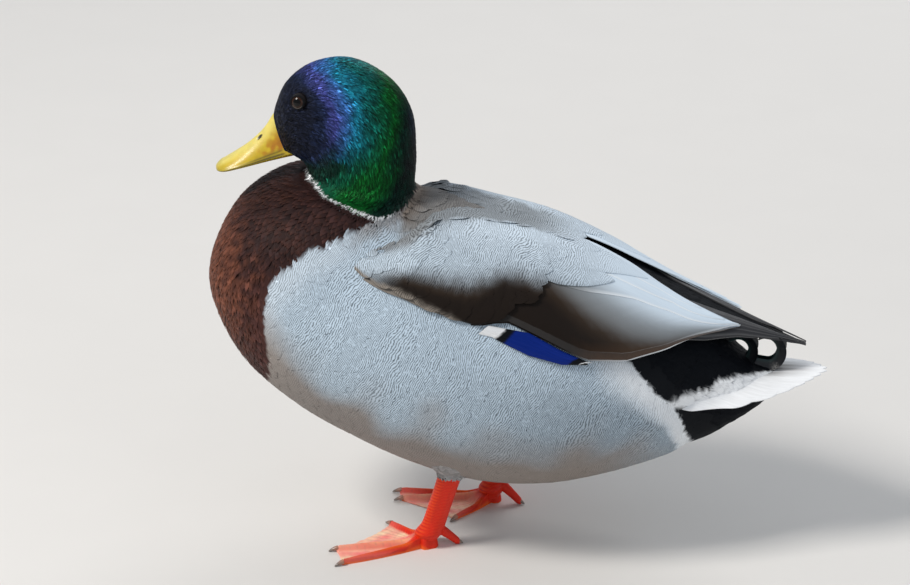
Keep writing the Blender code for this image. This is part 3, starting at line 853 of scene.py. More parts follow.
@dataclass(frozen=True)
class Markings:
    """Colours of the plumage, and the lines on the body where they meet.

    A line is a table of turns in degrees and the section numbers at which it crosses them. The two lines
    of the tail's white are tables of section numbers and degrees.
    """

    black: Colour = (0.004, 0.005, 0.007)
    soot: Colour = (0.009, 0.012, 0.026)
    navy: Colour = (0.012, 0.020, 0.055)
    # violet, azure and cyan: the head's iridescent sheen, painted as fixed colours
    violet: Colour = (0.052, 0.062, 0.250)
    azure: Colour = (0.038, 0.130, 0.370)
    cyan: Colour = (0.010, 0.175, 0.280)
    teal: Colour = (0.004, 0.105, 0.105)
    sea: Colour = (0.003, 0.085, 0.042)
    emerald: Colour = (0.002, 0.080, 0.012)
    bottle: Colour = (0.002, 0.022, 0.014)
    white: Colour = (0.86, 0.87, 0.88)
    chestnut: Colour = (0.056, 0.022, 0.019)
    umber: Colour = (0.016, 0.008, 0.008)
    rust: Colour = (0.180, 0.060, 0.032)
    grey: Colour = (0.52, 0.63, 0.73)
    # a brown tone for the thighs and the breast's edge, also laid low on the belly as painted shade and
    # bounce light
    stain_and_bounce: Colour = (0.25, 0.185, 0.135)
    mantle: Colour = (0.19, 0.185, 0.18)
    cheek: tuple[float, float] = (-143.0, 287.0)
    collar: Knots = (
        (0, 14.0), (25, 12.75), (37.5, 12.67), (48, 13.0), (58.5, 13.5), (78, 14.08), (96, 14.5),
        (115.5, 14.75), (138, 15.08), (180, 15.15),
    )
    breast_edge: Knots = (
        (0, 13.8), (25, 12.7), (37.5, 12.67), (54, 12.83), (66, 12.58), (82.5, 12.5), (90, 12.25),
        (99, 12.08), (112.5, 11.42), (121.5, 10.95), (133.5, 10.67), (180, 10.25),
    )
    rump_edge: Knots = (
        (0, 5.2), (45, 5.0), (60, 4.67), (64.5, 4.5), (76.5, 4.17), (85.5, 3.75), (105, 3.25),
        (133.5, 2.92), (180, 2.75),
    )
    tail_top: Knots = (
        (0, 34.5), (0.58, 36), (0.83, 42), (1.17, 49.5), (1.58, 66), (2.08, 83), (2.75, 85), (3.9, 84),
    )
    tail_low: Knots = ((0, 112), (1.42, 102), (2.33, 100), (3.0, 96), (3.8, 87), (3.9, 83))

    def past(self, line: Knots, at: Array, turn: Array) -> Array:
        """Millimetres by which a place lies beyond a line, towards the bill."""
        fore = BIRD.frame(at, turn)[3]
        return (at - knots(line, from_back(turn))) * fore

    def head(self, points: Array) -> Array:
        """The gloss of the head in bands about the cheek, rows of colours upwards, behind and below; its
        blue, violet and cyan are painted sheen, fixed in place.
        """
        x, z = points[..., 0] - self.cheek[0], points[..., 2] - self.cheek[1]
        reach = np.hypot(x, z) + 1.6 * ripple(points, 16.0, 5)
        rise = np.degrees(np.arctan2(z, x)) + 5.0 * ripple(points, 12.0, 6)
        stops = (0.0, 14.0, 22.0, 29.0, 36.0, 42.0, 49.0, 57.0, 64.0, 72.0, 80.0)
        bands = []
        for row in (
            "soot soot navy violet azure cyan teal teal sea bottle bottle",
            "soot soot navy violet azure cyan teal sea emerald bottle black",
            "soot soot soot navy bottle bottle sea emerald emerald emerald bottle",
        ):
            colours = np.array([getattr(self, name) for name in row.split()])
            bands.append(np.stack([np.interp(reach, stops, column) for column in colours.T], -1))
        eye = np.hypot(points[..., 0] + 137.0, points[..., 2] - 297.0) + 0.8 * ripple(points, 6.0, 7)
        # painted shade: a navy patch in the hollow of the cheek, behind and below the eye
        hollow = np.hypot((x - 17.0) / 5.0, (z + 9.0) / 9.0) + 0.25 * ripple(points, 5.0, 9)
        # painted shade: the rear edge of head and neck darkens to black and navy
        nape_shade = ease(-66.5, -61.5, points[..., 0] + 0.10 * (points[..., 2] - 240))
        return painted(
            bands[0],
            (bands[1], ease(50.0, 12.0, rise)),
            (bands[2], ease(-14.0, -40.0, rise)),
            (self.soot, ease(12.0, 7.0, eye)),
            (self.navy, ease(1.2, 0.5, hollow) * 0.7),
            (mix(self.black, self.navy, ease(262, 292, points[..., 2]) * 0.9), nape_shade * 0.8),
        )

    def body(self, points: Array, at: Array, turn: Array) -> tuple[Array, Array]:
        """Colours, and strengths of the wavy lines from 0 to 1, at places on the body."""
        degrees = from_back(turn)
        uneven = 0.8 * ripple(points, 4.0, 3)
        collar = self.past(self.collar, at, turn) + 0.5 * uneven
        breast = self.past(self.breast_edge, at, turn) + 1.6 * uneven
        rump = self.past(self.rump_edge, at, turn) + 0.6 * uneven
        side = ease(40, 70, degrees)
        near = knots(((60, 40), (85, 46), (105, 26), (130, 16)), degrees)
        pale = np.maximum(ease(near, 6.0, rump), 0.25 * ease(-30.0, -6.0, breast)) * side
        flank = mix(self.grey, self.white, pale * 0.8)
        # painted shade: the grey flank darkens low down and towards the rear
        low = ease(66, 90, degrees)
        flank = flank * (1 - 0.26 * ease(8.5, 5.0, at) * low * ease(0.6, 0.1, pale))[..., None]
        # painted shade and brown bounce light from the ground, low on the belly ahead of the rump
        belly_shade_and_bounce = ease(92, 124, degrees + 8 * ripple(points, 40.0, 8)) * ease(3.2, 5.5, at)
        flank = mix(flank, self.stain_and_bounce, belly_shade_and_bounce * 0.8)
        upper = knots(((3, 60), (6, 46), (9, 42), (11, 36), (12.5, 30)), at)
        back = ease(upper + 9, upper - 9, degrees + 4 * ripple(points, 12.0, 14))
        flank = mix(flank, self.mantle, back)
        front = ease(-158, -190, points[..., 0] + 9 * ripple(points, 10.0, 13))
        front = front * ease(238, 205, points[..., 2]) * ease(120, 165, points[..., 2])
        chest = painted(
            self.chestnut,
            (self.rust, ease(0.1, 1.0, ripple(points, 22.0, 12)) * 0.25),
            (self.umber, ease(165, 215, points[..., 2]) * 0.75),
            (self.rust, np.maximum(front * 0.7, ease(110, 80, points[..., 2]) * 0.3)),
        )
        is_breast, is_rump = ease(-0.6, 0.6, breast), ease(0.7, -0.7, rump)
        base = ease(-2.5, 2.5, degrees + 2.5 * uneven - knots(self.tail_top, at))
        base = base * ease(1.5, -1.5, degrees - knots(self.tail_low, at)) * ease(4.1, 3.8, at)
        tan = ease(-16.0, -2.0, breast) * ease(66, 52, degrees)
        ringed = ease(-0.9, -0.4, collar) * ease(33, 38, degrees)
        colour = painted(
            flank,
            (chest, is_breast),
            (self.black, is_rump),
            (self.white, base),
            (self.stain_and_bounce, tan * 0.6 * (1 - is_breast)),
            (self.white, ringed),
            (self.head(points), ease(0.8, 1.3, collar)),
        )
        bars = (1 - 0.75 * pale) * (1 - 0.4 * back) * (1 - 0.6 * belly_shade_and_bounce)
        return colour, bars * (1 - is_breast) * (1 - is_rump) * (1 - ringed)


MARKS = Markings()


def body_paint(
    fringe: float = 0.0,
    fringe_colour: Colour = MARKS.rust,
    uneven: float = 0.10,
    shade: float = 0.25,
    whole: bool = True,
) -> Paint:
    """A painter for coats on the body.

    Args:
        fringe: how much the feathers' edges take their own colour.
        fringe_colour: that colour.
        uneven: random spread of brightness.
        shade: how much darker the roots are, as painted shade where the feathers above overlap them.
        whole: True where a feather has one colour, False where the markings run on across it.

    Returns:
        The painter.
    """

    def paint(places: Array, at: Array, turn: Array, flat: Array, maker: Maker) -> tuple:
        """Colours each feather by the place of its visible part, or each point by its own."""
        if whole:
            middle = places.shape[2] // 2
            part = (slice(None), slice(-3, -2), slice(middle, middle + 1))
            tint, bars = MARKS.body(places[part], at[part], turn[part])
        else:
            tint, bars = MARKS.body(places, at, turn)
        tint = tint * np.exp(maker.normal(0, uneven, len(at)))[:, None, None, None]
        share, side = flat[..., 1], np.abs(flat[..., 0] * 2 - 1)
        rim = ease(0.80, 0.97, np.maximum(share, 0.35 + 0.6 * side * share))
        tint = mix(np.broadcast_to(tint, places.shape), fringe_colour, rim * fringe)
        # painted shade: each feather is darker towards its root
        tint = tint * (1 - shade * (1 - ease(0.1, 0.7, share)))[..., None]
        run = places[..., 0] * 0.88 - places[..., 2] * 0.48 + 2.2 * ripple(places, 45.0, 21)
        run = run + maker.normal(0, 0.10, (len(at), 1, 1)) - 0.3 * side**2
        return tint, np.broadcast_to(bars, share.shape), run

    return paint


# ---- skin and coat


EYE_CENTRE = (-136.3, 18.4, 297.5)
EYE_RADIUS = 5.6
COAT_DEPTH = (
    (0, 1.5), (1, 2.6), (3, 3.2), (12, 3.2), (14.5, 2.2), (16, 1.7), (19, 1.4), (21.4, 0.9), (22, 0.4),
)
ANKLES = {"left": (-39.1, -44.5, 59.35), "right": (-3.5, 47.0, 54.35)}


class ThighCuff(Surface):
    """The feathered thigh: a cuff that narrows from the belly down to the heel joint."""

    lowest = -0.3
    rings = ((0.0, 0.0, 8.6), (0.15, 1.5, 10.8), (0.4, 5.0, 14.0), (0.7, 11.0, 17.5), (1.0, 20.0, 20.0))

    def __init__(self, side: str) -> None:
        """Keeps the side's heel joint."""
        self.heel = np.array(ANKLES[side])

    def point(self, at: Array, turn: Array, grow: Array | float = 0.0) -> Array:
        """An oval ring whose height and radius are read from the cuff's rings."""
        rise, radius = knots(self.rings, at), knots(self.rings, at, 2) + grow
        low = np.minimum(np.asarray(at, float), 0.0) * 8.0
        x = 1.15 * radius * np.cos(turn) + 0.3 * rise
        place = np.stack(np.broadcast_arrays(x, radius * np.sin(turn), rise + low), axis=-1)
        return place + self.heel

    def unwrap(self, at: Array, turn: Array) -> Array:
        """A corner of the baking map."""
        return np.stack((0.9 + turn / 80.0, 0.02 + np.asarray(at) * 0.05), axis=-1)


@dataclass
class Skin:
    """The skin under the coat: the body, the eyelids, the thighs and a saddle between the wings."""

    around: int = 160
    fold: float = 0.25  # height of the fine folds of head and neck
    lid_reach: float = 4.25
    lid_width: float = 0.80
    lid_black: Colour = (0.006, 0.006, 0.007)
    lid_pale: Colour = (0.30, 0.27, 0.24)

    def body(self) -> Form:
        """The body's surface drawn in by the coat's depth, finely folded on head and neck."""
        at = np.concatenate((np.arange(0.02, 15.0, 0.1), np.arange(15.0, BILL_ROOT - 0.01, 0.04)))
        turn = (np.arange(self.around + 1) + 0.5) / self.around * TAU - math.pi
        grid_at, grid_turn = np.meshgrid(at, turn[:-1], indexing="ij")
        depth = knots(COAT_DEPTH, grid_at)
        rings = BIRD.point(grid_at, grid_turn, -depth)
        folds = self.fold * ripple(rings, 7.0, 31) * ease(14.0, 17.0, grid_at)
        rings = BIRD.point(grid_at, grid_turn, -depth + folds)
        # painted shade: the skin takes the coat's colours darkened by a fifth, where it shows between
        # feathers
        tint = MARKS.body(rings, grid_at, grid_turn)[0] * 0.8
        unwrap = BIRD.unwrap(*np.meshgrid(at, turn, indexing="ij"))
        return one_tube(rings, tint, unwrap)

    def lids(self, side: str) -> Form:
        """A soft ring round the eye: a flattened tube on an oval path on the eyeball, paler below."""
        centre, out, ahead, above = eye_frame(side)
        round_eye = np.linspace(0, TAU, 49)[:-1]
        round_lid = np.linspace(0, TAU, 11)[:-1]
        path, cross = np.meshgrid(round_eye, round_lid, indexing="ij")
        reach = self.lid_reach * (1 - 0.10 * np.abs(np.sin(path))) + self.lid_width * np.cos(cross)
        height = np.sqrt(np.maximum(EYE_RADIUS**2 - self.lid_reach**2, 0)) + 0.3 + 0.55 * np.sin(cross)
        ring = (np.cos(path) * reach)[..., None] * ahead + (np.sin(path) * reach)[..., None] * above
        points = centre + ring + height[..., None] * out
        pale = ease(-0.35, -0.9, np.sin(path) * np.sign(above[2])) * ease(0.0, -0.7, np.cos(cross))
        return ring_tube(points, mix(self.lid_black, self.lid_pale, pale * 0.8))

    def cuff(self, side: str) -> Form:
        """The skin of one thigh."""
        thigh = ThighCuff(side)
        at, turn = np.meshgrid(np.linspace(0, 1, 14), all_round(28), indexing="ij")
        rings = thigh.point(at, turn, -1.6)
        # painted shade: the thigh's skin is the brown tone at half brightness, under the thigh feathers
        return one_tube(rings, plain(np.array(MARKS.stain_and_bounce) * 0.5, rings))

    def saddle(self) -> Form:
        """The wedge over the rump that fills the space between the folded wings."""
        at, turn = np.meshgrid(np.linspace(1.6, 6.4, 40), np.linspace(-0.32, 0.32, 16), indexing="ij")
        outer = BED.point(at, turn, -1.1)
        inner = BED.point(at, turn, -knots(((1.6, 3.0), (2.5, 9.0), (4, 7.0), (6.4, 2.0)), at))
        rings = np.concatenate((outer, inner[:, ::-1]), axis=1)
        return one_tube(rings, plain(MARKS.black, rings))

    def build(self) -> None:
        """Makes the skin, which stands for the flesh solids."""
        parts = [self.body(), self.saddle()]
        parts += [make(side) for make in (self.lids, self.cuff) for side in SIDES]
        thighs = tuple(f"leg_{side}_thigh" for side in SIDES)
        nodes = ("head", "neck", "breast", "trunk", "rump", *thighs)
        finish = Finish("bird_skin", roughness=0.62, mottle=0.3, grain=0.0002, gloss=0.08)
        add_piece("skin", joined(parts), finish, "flank_grey", nodes)


def ring_tube(points: Array, tint: Array) -> Form:
    """A closed ring of closed loops, from points and colours with the shape (along it, round a loop, 3)."""
    count, around = points.shape[:2]
    number = np.arange(count * around).reshape(count, around)
    ahead, beside = np.roll(number, -1, axis=0), np.roll(number, -1, axis=1)
    both = np.roll(ahead, -1, axis=1)
    faces = np.stack((number, beside, both, ahead), axis=-1).reshape(-1, 4)
    a, b, c, d = (points.reshape(-1, 3)[faces[:, k]] for k in range(4))
    middle = points.mean(axis=1).repeat(around, axis=0)
    if np.einsum("fk,fk->", (a + b + c + d) / 4 - middle, np.cross(c - a, d - b)) < 0:
        faces = faces[:, ::-1]
    form = Form(points.reshape(-1, 3), [faces], tint=tint.reshape(-1, 3))
    across, along = np.meshgrid(np.arange(around) / around, np.arange(count) / count)
    flat = np.stack((across, along), axis=-1).reshape(-1, 2) * 0.03 + 0.96
    form.maps["OFBake"] = flat[form.corners()]
    return form


def eye_frame(side: str) -> tuple[Array, Array, Array, Array]:
    """An eye's centre, the way it looks (outwards, a little ahead and up), and the ways ahead and above."""
    mirror = np.array((1.0, SIDES[side], 1.0))
    out = unit(np.array((-0.25, 0.95, 0.17)) * mirror)
    return np.array(EYE_CENTRE) * mirror, out, *square_to(out)


@dataclass
class Plumage:
    """The small feathers of the head and body, region by region."""

    head: FeatherFinish = FeatherFinish(
        "head_feather", roughness=0.34, metallic=0.6, barbs=0.7, grain=0.00035, gloss=0.2
    )
    body: FeatherFinish = FeatherFinish(
        "breast_feather", roughness=0.5, barbs=0.6, grain=0.0003, gloss=0.10
    )
    lined: FeatherFinish = FeatherFinish(
        "flank_feather", roughness=0.75, barbs=0.03, grain=0.00002, contrast=0.66, gloss=0.12
    )
    rump: FeatherFinish = FeatherFinish(
        "rump_feather", roughness=0.6, barbs=0.3, grain=0.0002, gloss=0.05
    )
    hair: Vane = Vane(Tip.POINTED, columns=3, rows=4, widest=0.4, camber=0.45, under=30.0)
    wisp: Vane = Vane(Tip.POINTED, columns=5, rows=6, widest=0.6, camber=0.10)
    small: Vane = Vane(Tip.ROUND, columns=5, rows=6, widest=0.55, camber=0.08)
    broad: Vane = Vane(Tip.ROUND, columns=5, rows=7, widest=0.62, camber=0.03)

    def off_eye(self, at: Array, turn: Array) -> Array:
        """True where a place is clear of the eyes."""
        place = BIRD.point(at, turn)
        place[..., 1] = np.abs(place[..., 1])
        return np.linalg.norm(place - np.array(EYE_CENTRE), axis=-1) > EYE_RADIUS + 0.2

    def on_head(self, at: Array, turn: Array) -> Array:
        """True off the eyes and above the collar."""
        return self.off_eye(at, turn) & (MARKS.past(MARKS.collar, at, turn) > 3.0)

    def on_collar(self, at: Array, turn: Array) -> Array:
        """True in a belt along the collar."""
        past = MARKS.past(MARKS.collar, at, turn)
        return (past > -2.0) & (past < 6.5)

    def on_breast(self, at: Array, turn: Array) -> Array:
        """True from the collar down to a little past the breast's edge."""
        low = MARKS.past(MARKS.breast_edge, at, turn) > 5.0
        return low & (MARKS.past(MARKS.collar, at, turn) < 2.0)

    def on_flank(self, at: Array, turn: Array) -> Array:
        """True behind the breast and ahead of the rump."""
        behind = MARKS.past(MARKS.breast_edge, at, turn) < 10.0
        return behind & (MARKS.past(MARKS.rump_edge, at, turn) > -2.0)

    def on_rump(self, at: Array, turn: Array) -> Array:
        """True behind the line of the rump."""
        return MARKS.past(MARKS.rump_edge, at, turn) < 5.0

    def on_fringe(self, at: Array, turn: Array) -> Array:
        """True near the upper line of the tail's white."""
        over = from_back(turn) - knots(MARKS.tail_top, at)
        return (np.abs(over + 1.0) < 8.0) & (at < 4.0)

    def rump_size(self, at: Array, turn: Array) -> Array:
        """Rump feathers are shortest at the rear end and along the tail's edges."""
        edge = np.abs(from_back(turn) - 92.0)
        return np.interp(at, (0.2, 1.4), (0.4, 1.0)) * np.interp(edge, (6.0, 24.0), (0.55, 1.0))

    def add(self, cover: Cover, paint: Paint, keep: Test) -> None:
        """Grows one cover on the body and adds it as a piece."""
        add_piece(cover.name, cover.grow(BIRD, paint, keep), cover.finish, cover.slot)

    def grow_front(self) -> None:
        """Grows the hair-like feathers of head and collar, and the breast."""
        fine = body_paint(uneven=0.50, shade=0.6)
        ring = (-math.pi, math.pi)
        for name, first, last, spacing, length, half, depth, seed, lift in (
            ("face", 19.4, 21.95, 1.05, 4.2, 0.75, 1.0, 1, 0.15),
            ("head", 17.0, 19.4, 1.15, 4.8, 0.80, 1.2, 2, 0.2),
            ("neck", 12.6, 17.0, 1.2, 5.6, 0.85, 1.5, 3, 0.2),
        ):
            cover = Cover(f"{name}_feathers", self.head, "head_green", self.hair, (first, last, *ring),
                          spacing, length, half, depth, seed, lift=lift)
            self.add(cover, fine, self.on_head)
        collar = Cover("collar_feathers", self.body, "tail_white", self.hair, (12.2, 15.8, *ring),
                       1.2, 4.2, 0.9, 1.3, 4, lift=0.12)
        self.add(collar, body_paint(uneven=0.05, shade=0.2, whole=False), self.on_collar)
        breast = Cover("breast_feathers", self.body, "breast_chestnut", self.wisp, (9.6, 15.2, *ring),
                       2.75, 11.0, 2.25, 2.2, 5, lift=0.2, ragged=0.3)
        self.add(breast, body_paint(0.15, uneven=0.25, shade=0.5, whole=False), self.on_breast)

    def grow_middle(self) -> None:
        """Grows the lined feathers of both flanks and the belly, and the mantle between the wings."""
        paint = body_paint(uneven=0.015, shade=0.08, whole=False)
        top, low = math.radians(38), math.radians(128)
        for side, (first, last) in {"left": (-low, -top), "right": (top, low)}.items():
            flank = Cover(f"flank_feathers_{side}", self.lined, "flank_grey", self.broad,
                          (2.4, 13.2, first, last), 4.8, 17.0, 5.2, 0.8, 6 + SIDES[side],
                          lift=0.03, ragged=0.35)
            self.add(flank, paint, self.on_flank)
        belly = Cover("belly_feathers", self.lined, "flank_grey", self.broad,
                      (2.4, 12.0, low, TAU - low), 5.6, 19.0, 6.0, 0.9, 9, lift=0.05, ragged=0.3)
        self.add(belly, paint, self.on_flank)
        mantle = Cover("mantle_feathers", self.lined, "wing_grey", self.small, (3.8, 13.8, -top, top),
                       4.0, 15.0, 4.4, 2.2, 10, lift=0.2, ragged=0.4)
        edged = body_paint(0.25, (0.30, 0.28, 0.26), uneven=0.08, shade=0.3, whole=False)
        self.add(mantle, edged, self.on_flank)

    def grow_rump(self) -> None:
        """Grows the black rump, the saddle between the wings, and the fringe of hairs along the white."""
        finish, slot, ring = self.rump, "rump_black", (-math.pi, math.pi)
        rump = Cover("rump_feathers", finish, slot, self.small, (0.25, 5.6, *ring),
                     3.8, 16.0, 3.8, 2.0, 11, ragged=0.6, lift=0.25)
        saddle = Cover("rump_saddle", finish, slot, self.small, (1.5, 6.0, -0.30, 0.30),
                       3.8, 17.0, 4.2, 1.2, 12, ragged=0.3, lift=0.2)
        fringe = Cover("rump_fringe", finish, slot, self.hair, (0.5, 4.1, *ring),
                       1.3, 12.0, 0.7, 2.4, 13, ragged=0.7, lift=1.2)
        dark = body_paint(0.0, MARKS.black, uneven=0.04, shade=0.1, whole=False)
        forms = [
            rump.grow(BIRD, dark, self.on_rump, self.rump_size),
            saddle.grow(BED, dark),
            fringe.grow(BIRD, body_paint(uneven=0.02, shade=0.0), self.on_fringe),
        ]
        add_piece(rump.name, joined(forms), finish, slot)

    def paint_thigh(self, places: Array, at: Array, turn: Array, flat: Array, maker: Maker) -> tuple:
        """One soft brown-grey, uneven from feather to feather."""
        tone = mix(MARKS.grey, MARKS.stain_and_bounce, np.full(len(at), 0.7))
        tint = tone * np.exp(maker.normal(0, 0.12, len(at)))[:, None]
        bars = np.full(flat.shape[:3], 0.35)
        return np.broadcast_to(tint[:, None, None], places.shape), bars, places[..., 2]

    def grow_thighs(self) -> None:
        """Grows the short feathers that hang round the top of each leg."""
        cover = Cover("thigh_feathers", self.lined, "flank_grey", self.small, (0.05, 0.9, 0, TAU),
                      2.3, 8.0, 2.3, 1.6, 14, lift=0.3)
        forms = [cover.grow(ThighCuff(side), self.paint_thigh) for side in SIDES]
        add_piece(cover.name, joined(forms), cover.finish, cover.slot)

    def grow(self) -> None:
        """Grows every region of the coat."""
        self.grow_front()
        self.grow_middle()
        self.grow_rump()
        self.grow_thighs()


# ---- wings


def both_ways(columns: int) -> Array:
    """Shares across a feather from -1 to 1 and back: a loop over its top and under its bottom."""
    across = np.linspace(-1, 1, columns)
    return np.concatenate((across, across[::-1]))


def top_and_bottom(columns: int, top: float, bottom: float) -> Array:
    """A value for the top half of such a loop and one for the bottom half."""
    return np.concatenate((np.full(columns, top), np.full(columns, bottom)))


def flat_places(loop: Array, share: Array) -> Array:
    """Places on a feather's own flat map: across it, and along it."""
    return np.stack(np.broadcast_arrays(loop * 0.5 + 0.5, share[:, None]), axis=-1)


def long_feather(
    points: Array, flat: Array, tint: Array, bars: Array | float, run: Array, chance: float, column: tuple
) -> Form:
    """One long feather as a closed tube.

    Args:
        points: places with the shape (rows, round the loop, 3).
        flat: its flat places.
        tint: its colours.
        bars: strength of the wavy lines.
        run: their phase.
        chance: its own random number.
        column: start and width of its column on the baking map.

    Returns:
        The form.
    """
    values = {"Bars": bars, "Run": run, "Chance": chance}
    values = {name: np.broadcast_to(number, points.shape[:2])[None] for name, number in values.items()}
    baked = np.array((column[0], 0.02)) + flat[None] * np.array((column[1], 0.96))
    return swept(points[None], {"OFBake": baked, "Feather": flat[None]}, tint[None], values)


@dataclass(frozen=True)
class Strip:
    """A long feather in the coordinates of a patch: it fills shares between two edges, out to its tip."""

    root: float  # at where it starts
    end: float  # at of its tip
    inner: Knots  # of at and share of its upper edge
    outer: Knots  # of at and share of its lower edge
    grow: float  # height above the patch
    rows: int = 30
    columns: int = 10
    blunt: float = 2.2  # how blunt the tip is
    thick: float = 0.55
    dip: float = 0.35  # how far the lower edge curls down
    slant: float = 0.0  # how far the rows lean towards the front at the lower edge

    def grids(self) -> tuple[Array, Array, Array, Array]:
        """Section numbers, shares, heights and flat places, with the shape (rows, round the loop)."""
        share = crowded(self.rows, 1.4)
        at = self.root + (self.end - self.root) * share
        inner, outer = knots(self.inner, at), knots(self.outer, at)
        middle = (inner + outer) / 2
        past = np.clip((share - 0.72) / 0.28, 0, 1)
        half = (outer - inner) / 2 * np.maximum((1 - past**self.blunt) ** 0.6, 0.05)
        loop = both_ways(self.columns)
        top = top_and_bottom(self.columns, 0.0, -self.thick)
        arch = -self.dip * np.clip(loop, 0, 1) ** 3 - 0.15 * np.clip(-loop, 0, 1) ** 3
        shares = middle[:, None] + half[:, None] * loop
        grid_at = at[:, None] + self.slant * (shares - 0.5)
        grow = np.broadcast_to(self.grow + top + arch, grid_at.shape)
        return grid_at, shares, grow, flat_places(loop, share)

    def form(self, surface: Surface, paint: Paint, column: tuple, chance: float) -> Form:
        """Builds the feather on a surface, with the start and width of its column on the baking map."""
        at, share, grow, flat = self.grids()
        points = surface.point(at, share, grow)
        return long_feather(points, flat, *paint(points, at, share, flat), chance, column)


LONG_SCAPULARS = [
    Strip(6.6, 3.95, ((3.9, 0.24), (6, 0.20)), ((3.9, 0.40), (4.8, 0.55), (6.6, 0.62)), -0.55),
    Strip(6.6, 3.42, ((3.4, 0.0), (4, -0.03), (6, 0.0)),
          ((3.4, 0.16), (4.2, 0.30), (4.9, 0.44), (6.6, 0.50)), -0.15),
    Strip(6.6, 4.2, ((4.2, -0.08), (5, -0.1), (6, -0.1)), ((4.2, 0.16), (4.9, 0.26), (6.6, 0.32)), 0.15),
]
TERTIALS = [
    Strip(6.1, 1.98, ((2, 0.0), (3, 0.30), (5, 0.40), (6, 0.5)), ((2, 1.0), (6.1, 1.0)), -2.2),
    Strip(6.1, 2.02, ((2, 0.0), (3, 0.14), (5, 0.2)),
          ((2, 0.95), (3, 0.46), (3.6, 0.42), (4.7, 0.54), (6, 0.6)), -1.5),
    Strip(6.1, 2.25, ((2, 0.0), (3, 0.02), (5, 0.08)), ((2, 0.75), (3, 0.30), (4, 0.28), (5, 0.30)), -0.95),
    Strip(6.1, 2.6, ((2, 0.0), (3, 0.0), (3.6, -0.06), (5, -0.1)),
          ((2.6, 0.3), (3.2, 0.16), (5, 0.15)), -0.55),
]


def primary_strips() -> list[Strip]:
    """The primaries: each lies a step lower and further out than the one before."""
    strips = []
    for k, end in enumerate((0.9, 0.05, 0.3, 0.7, 1.2)):
        low, high = k * 0.2 - 0.02 * k, min(1.0, k * 0.2 + 0.34)
        strips.append(Strip(3.8, end, ((0, low),), ((0, high),), 0.1 - 0.32 * k))
    return strips


def speculum_strips() -> list[Strip]:
    """The secondaries of the speculum, square-ended and side by side."""
    strips = []
    for k in range(4):
        low, high = k * 0.25, min(1.0, k * 0.25 + 0.36)
        strips.append(Strip(5.88, 4.28 + 0.02 * k, ((0, low),), ((0, high),), 0.3 - 0.3 * k,
                            rows=90, blunt=5.0, slant=0.17))
    return strips


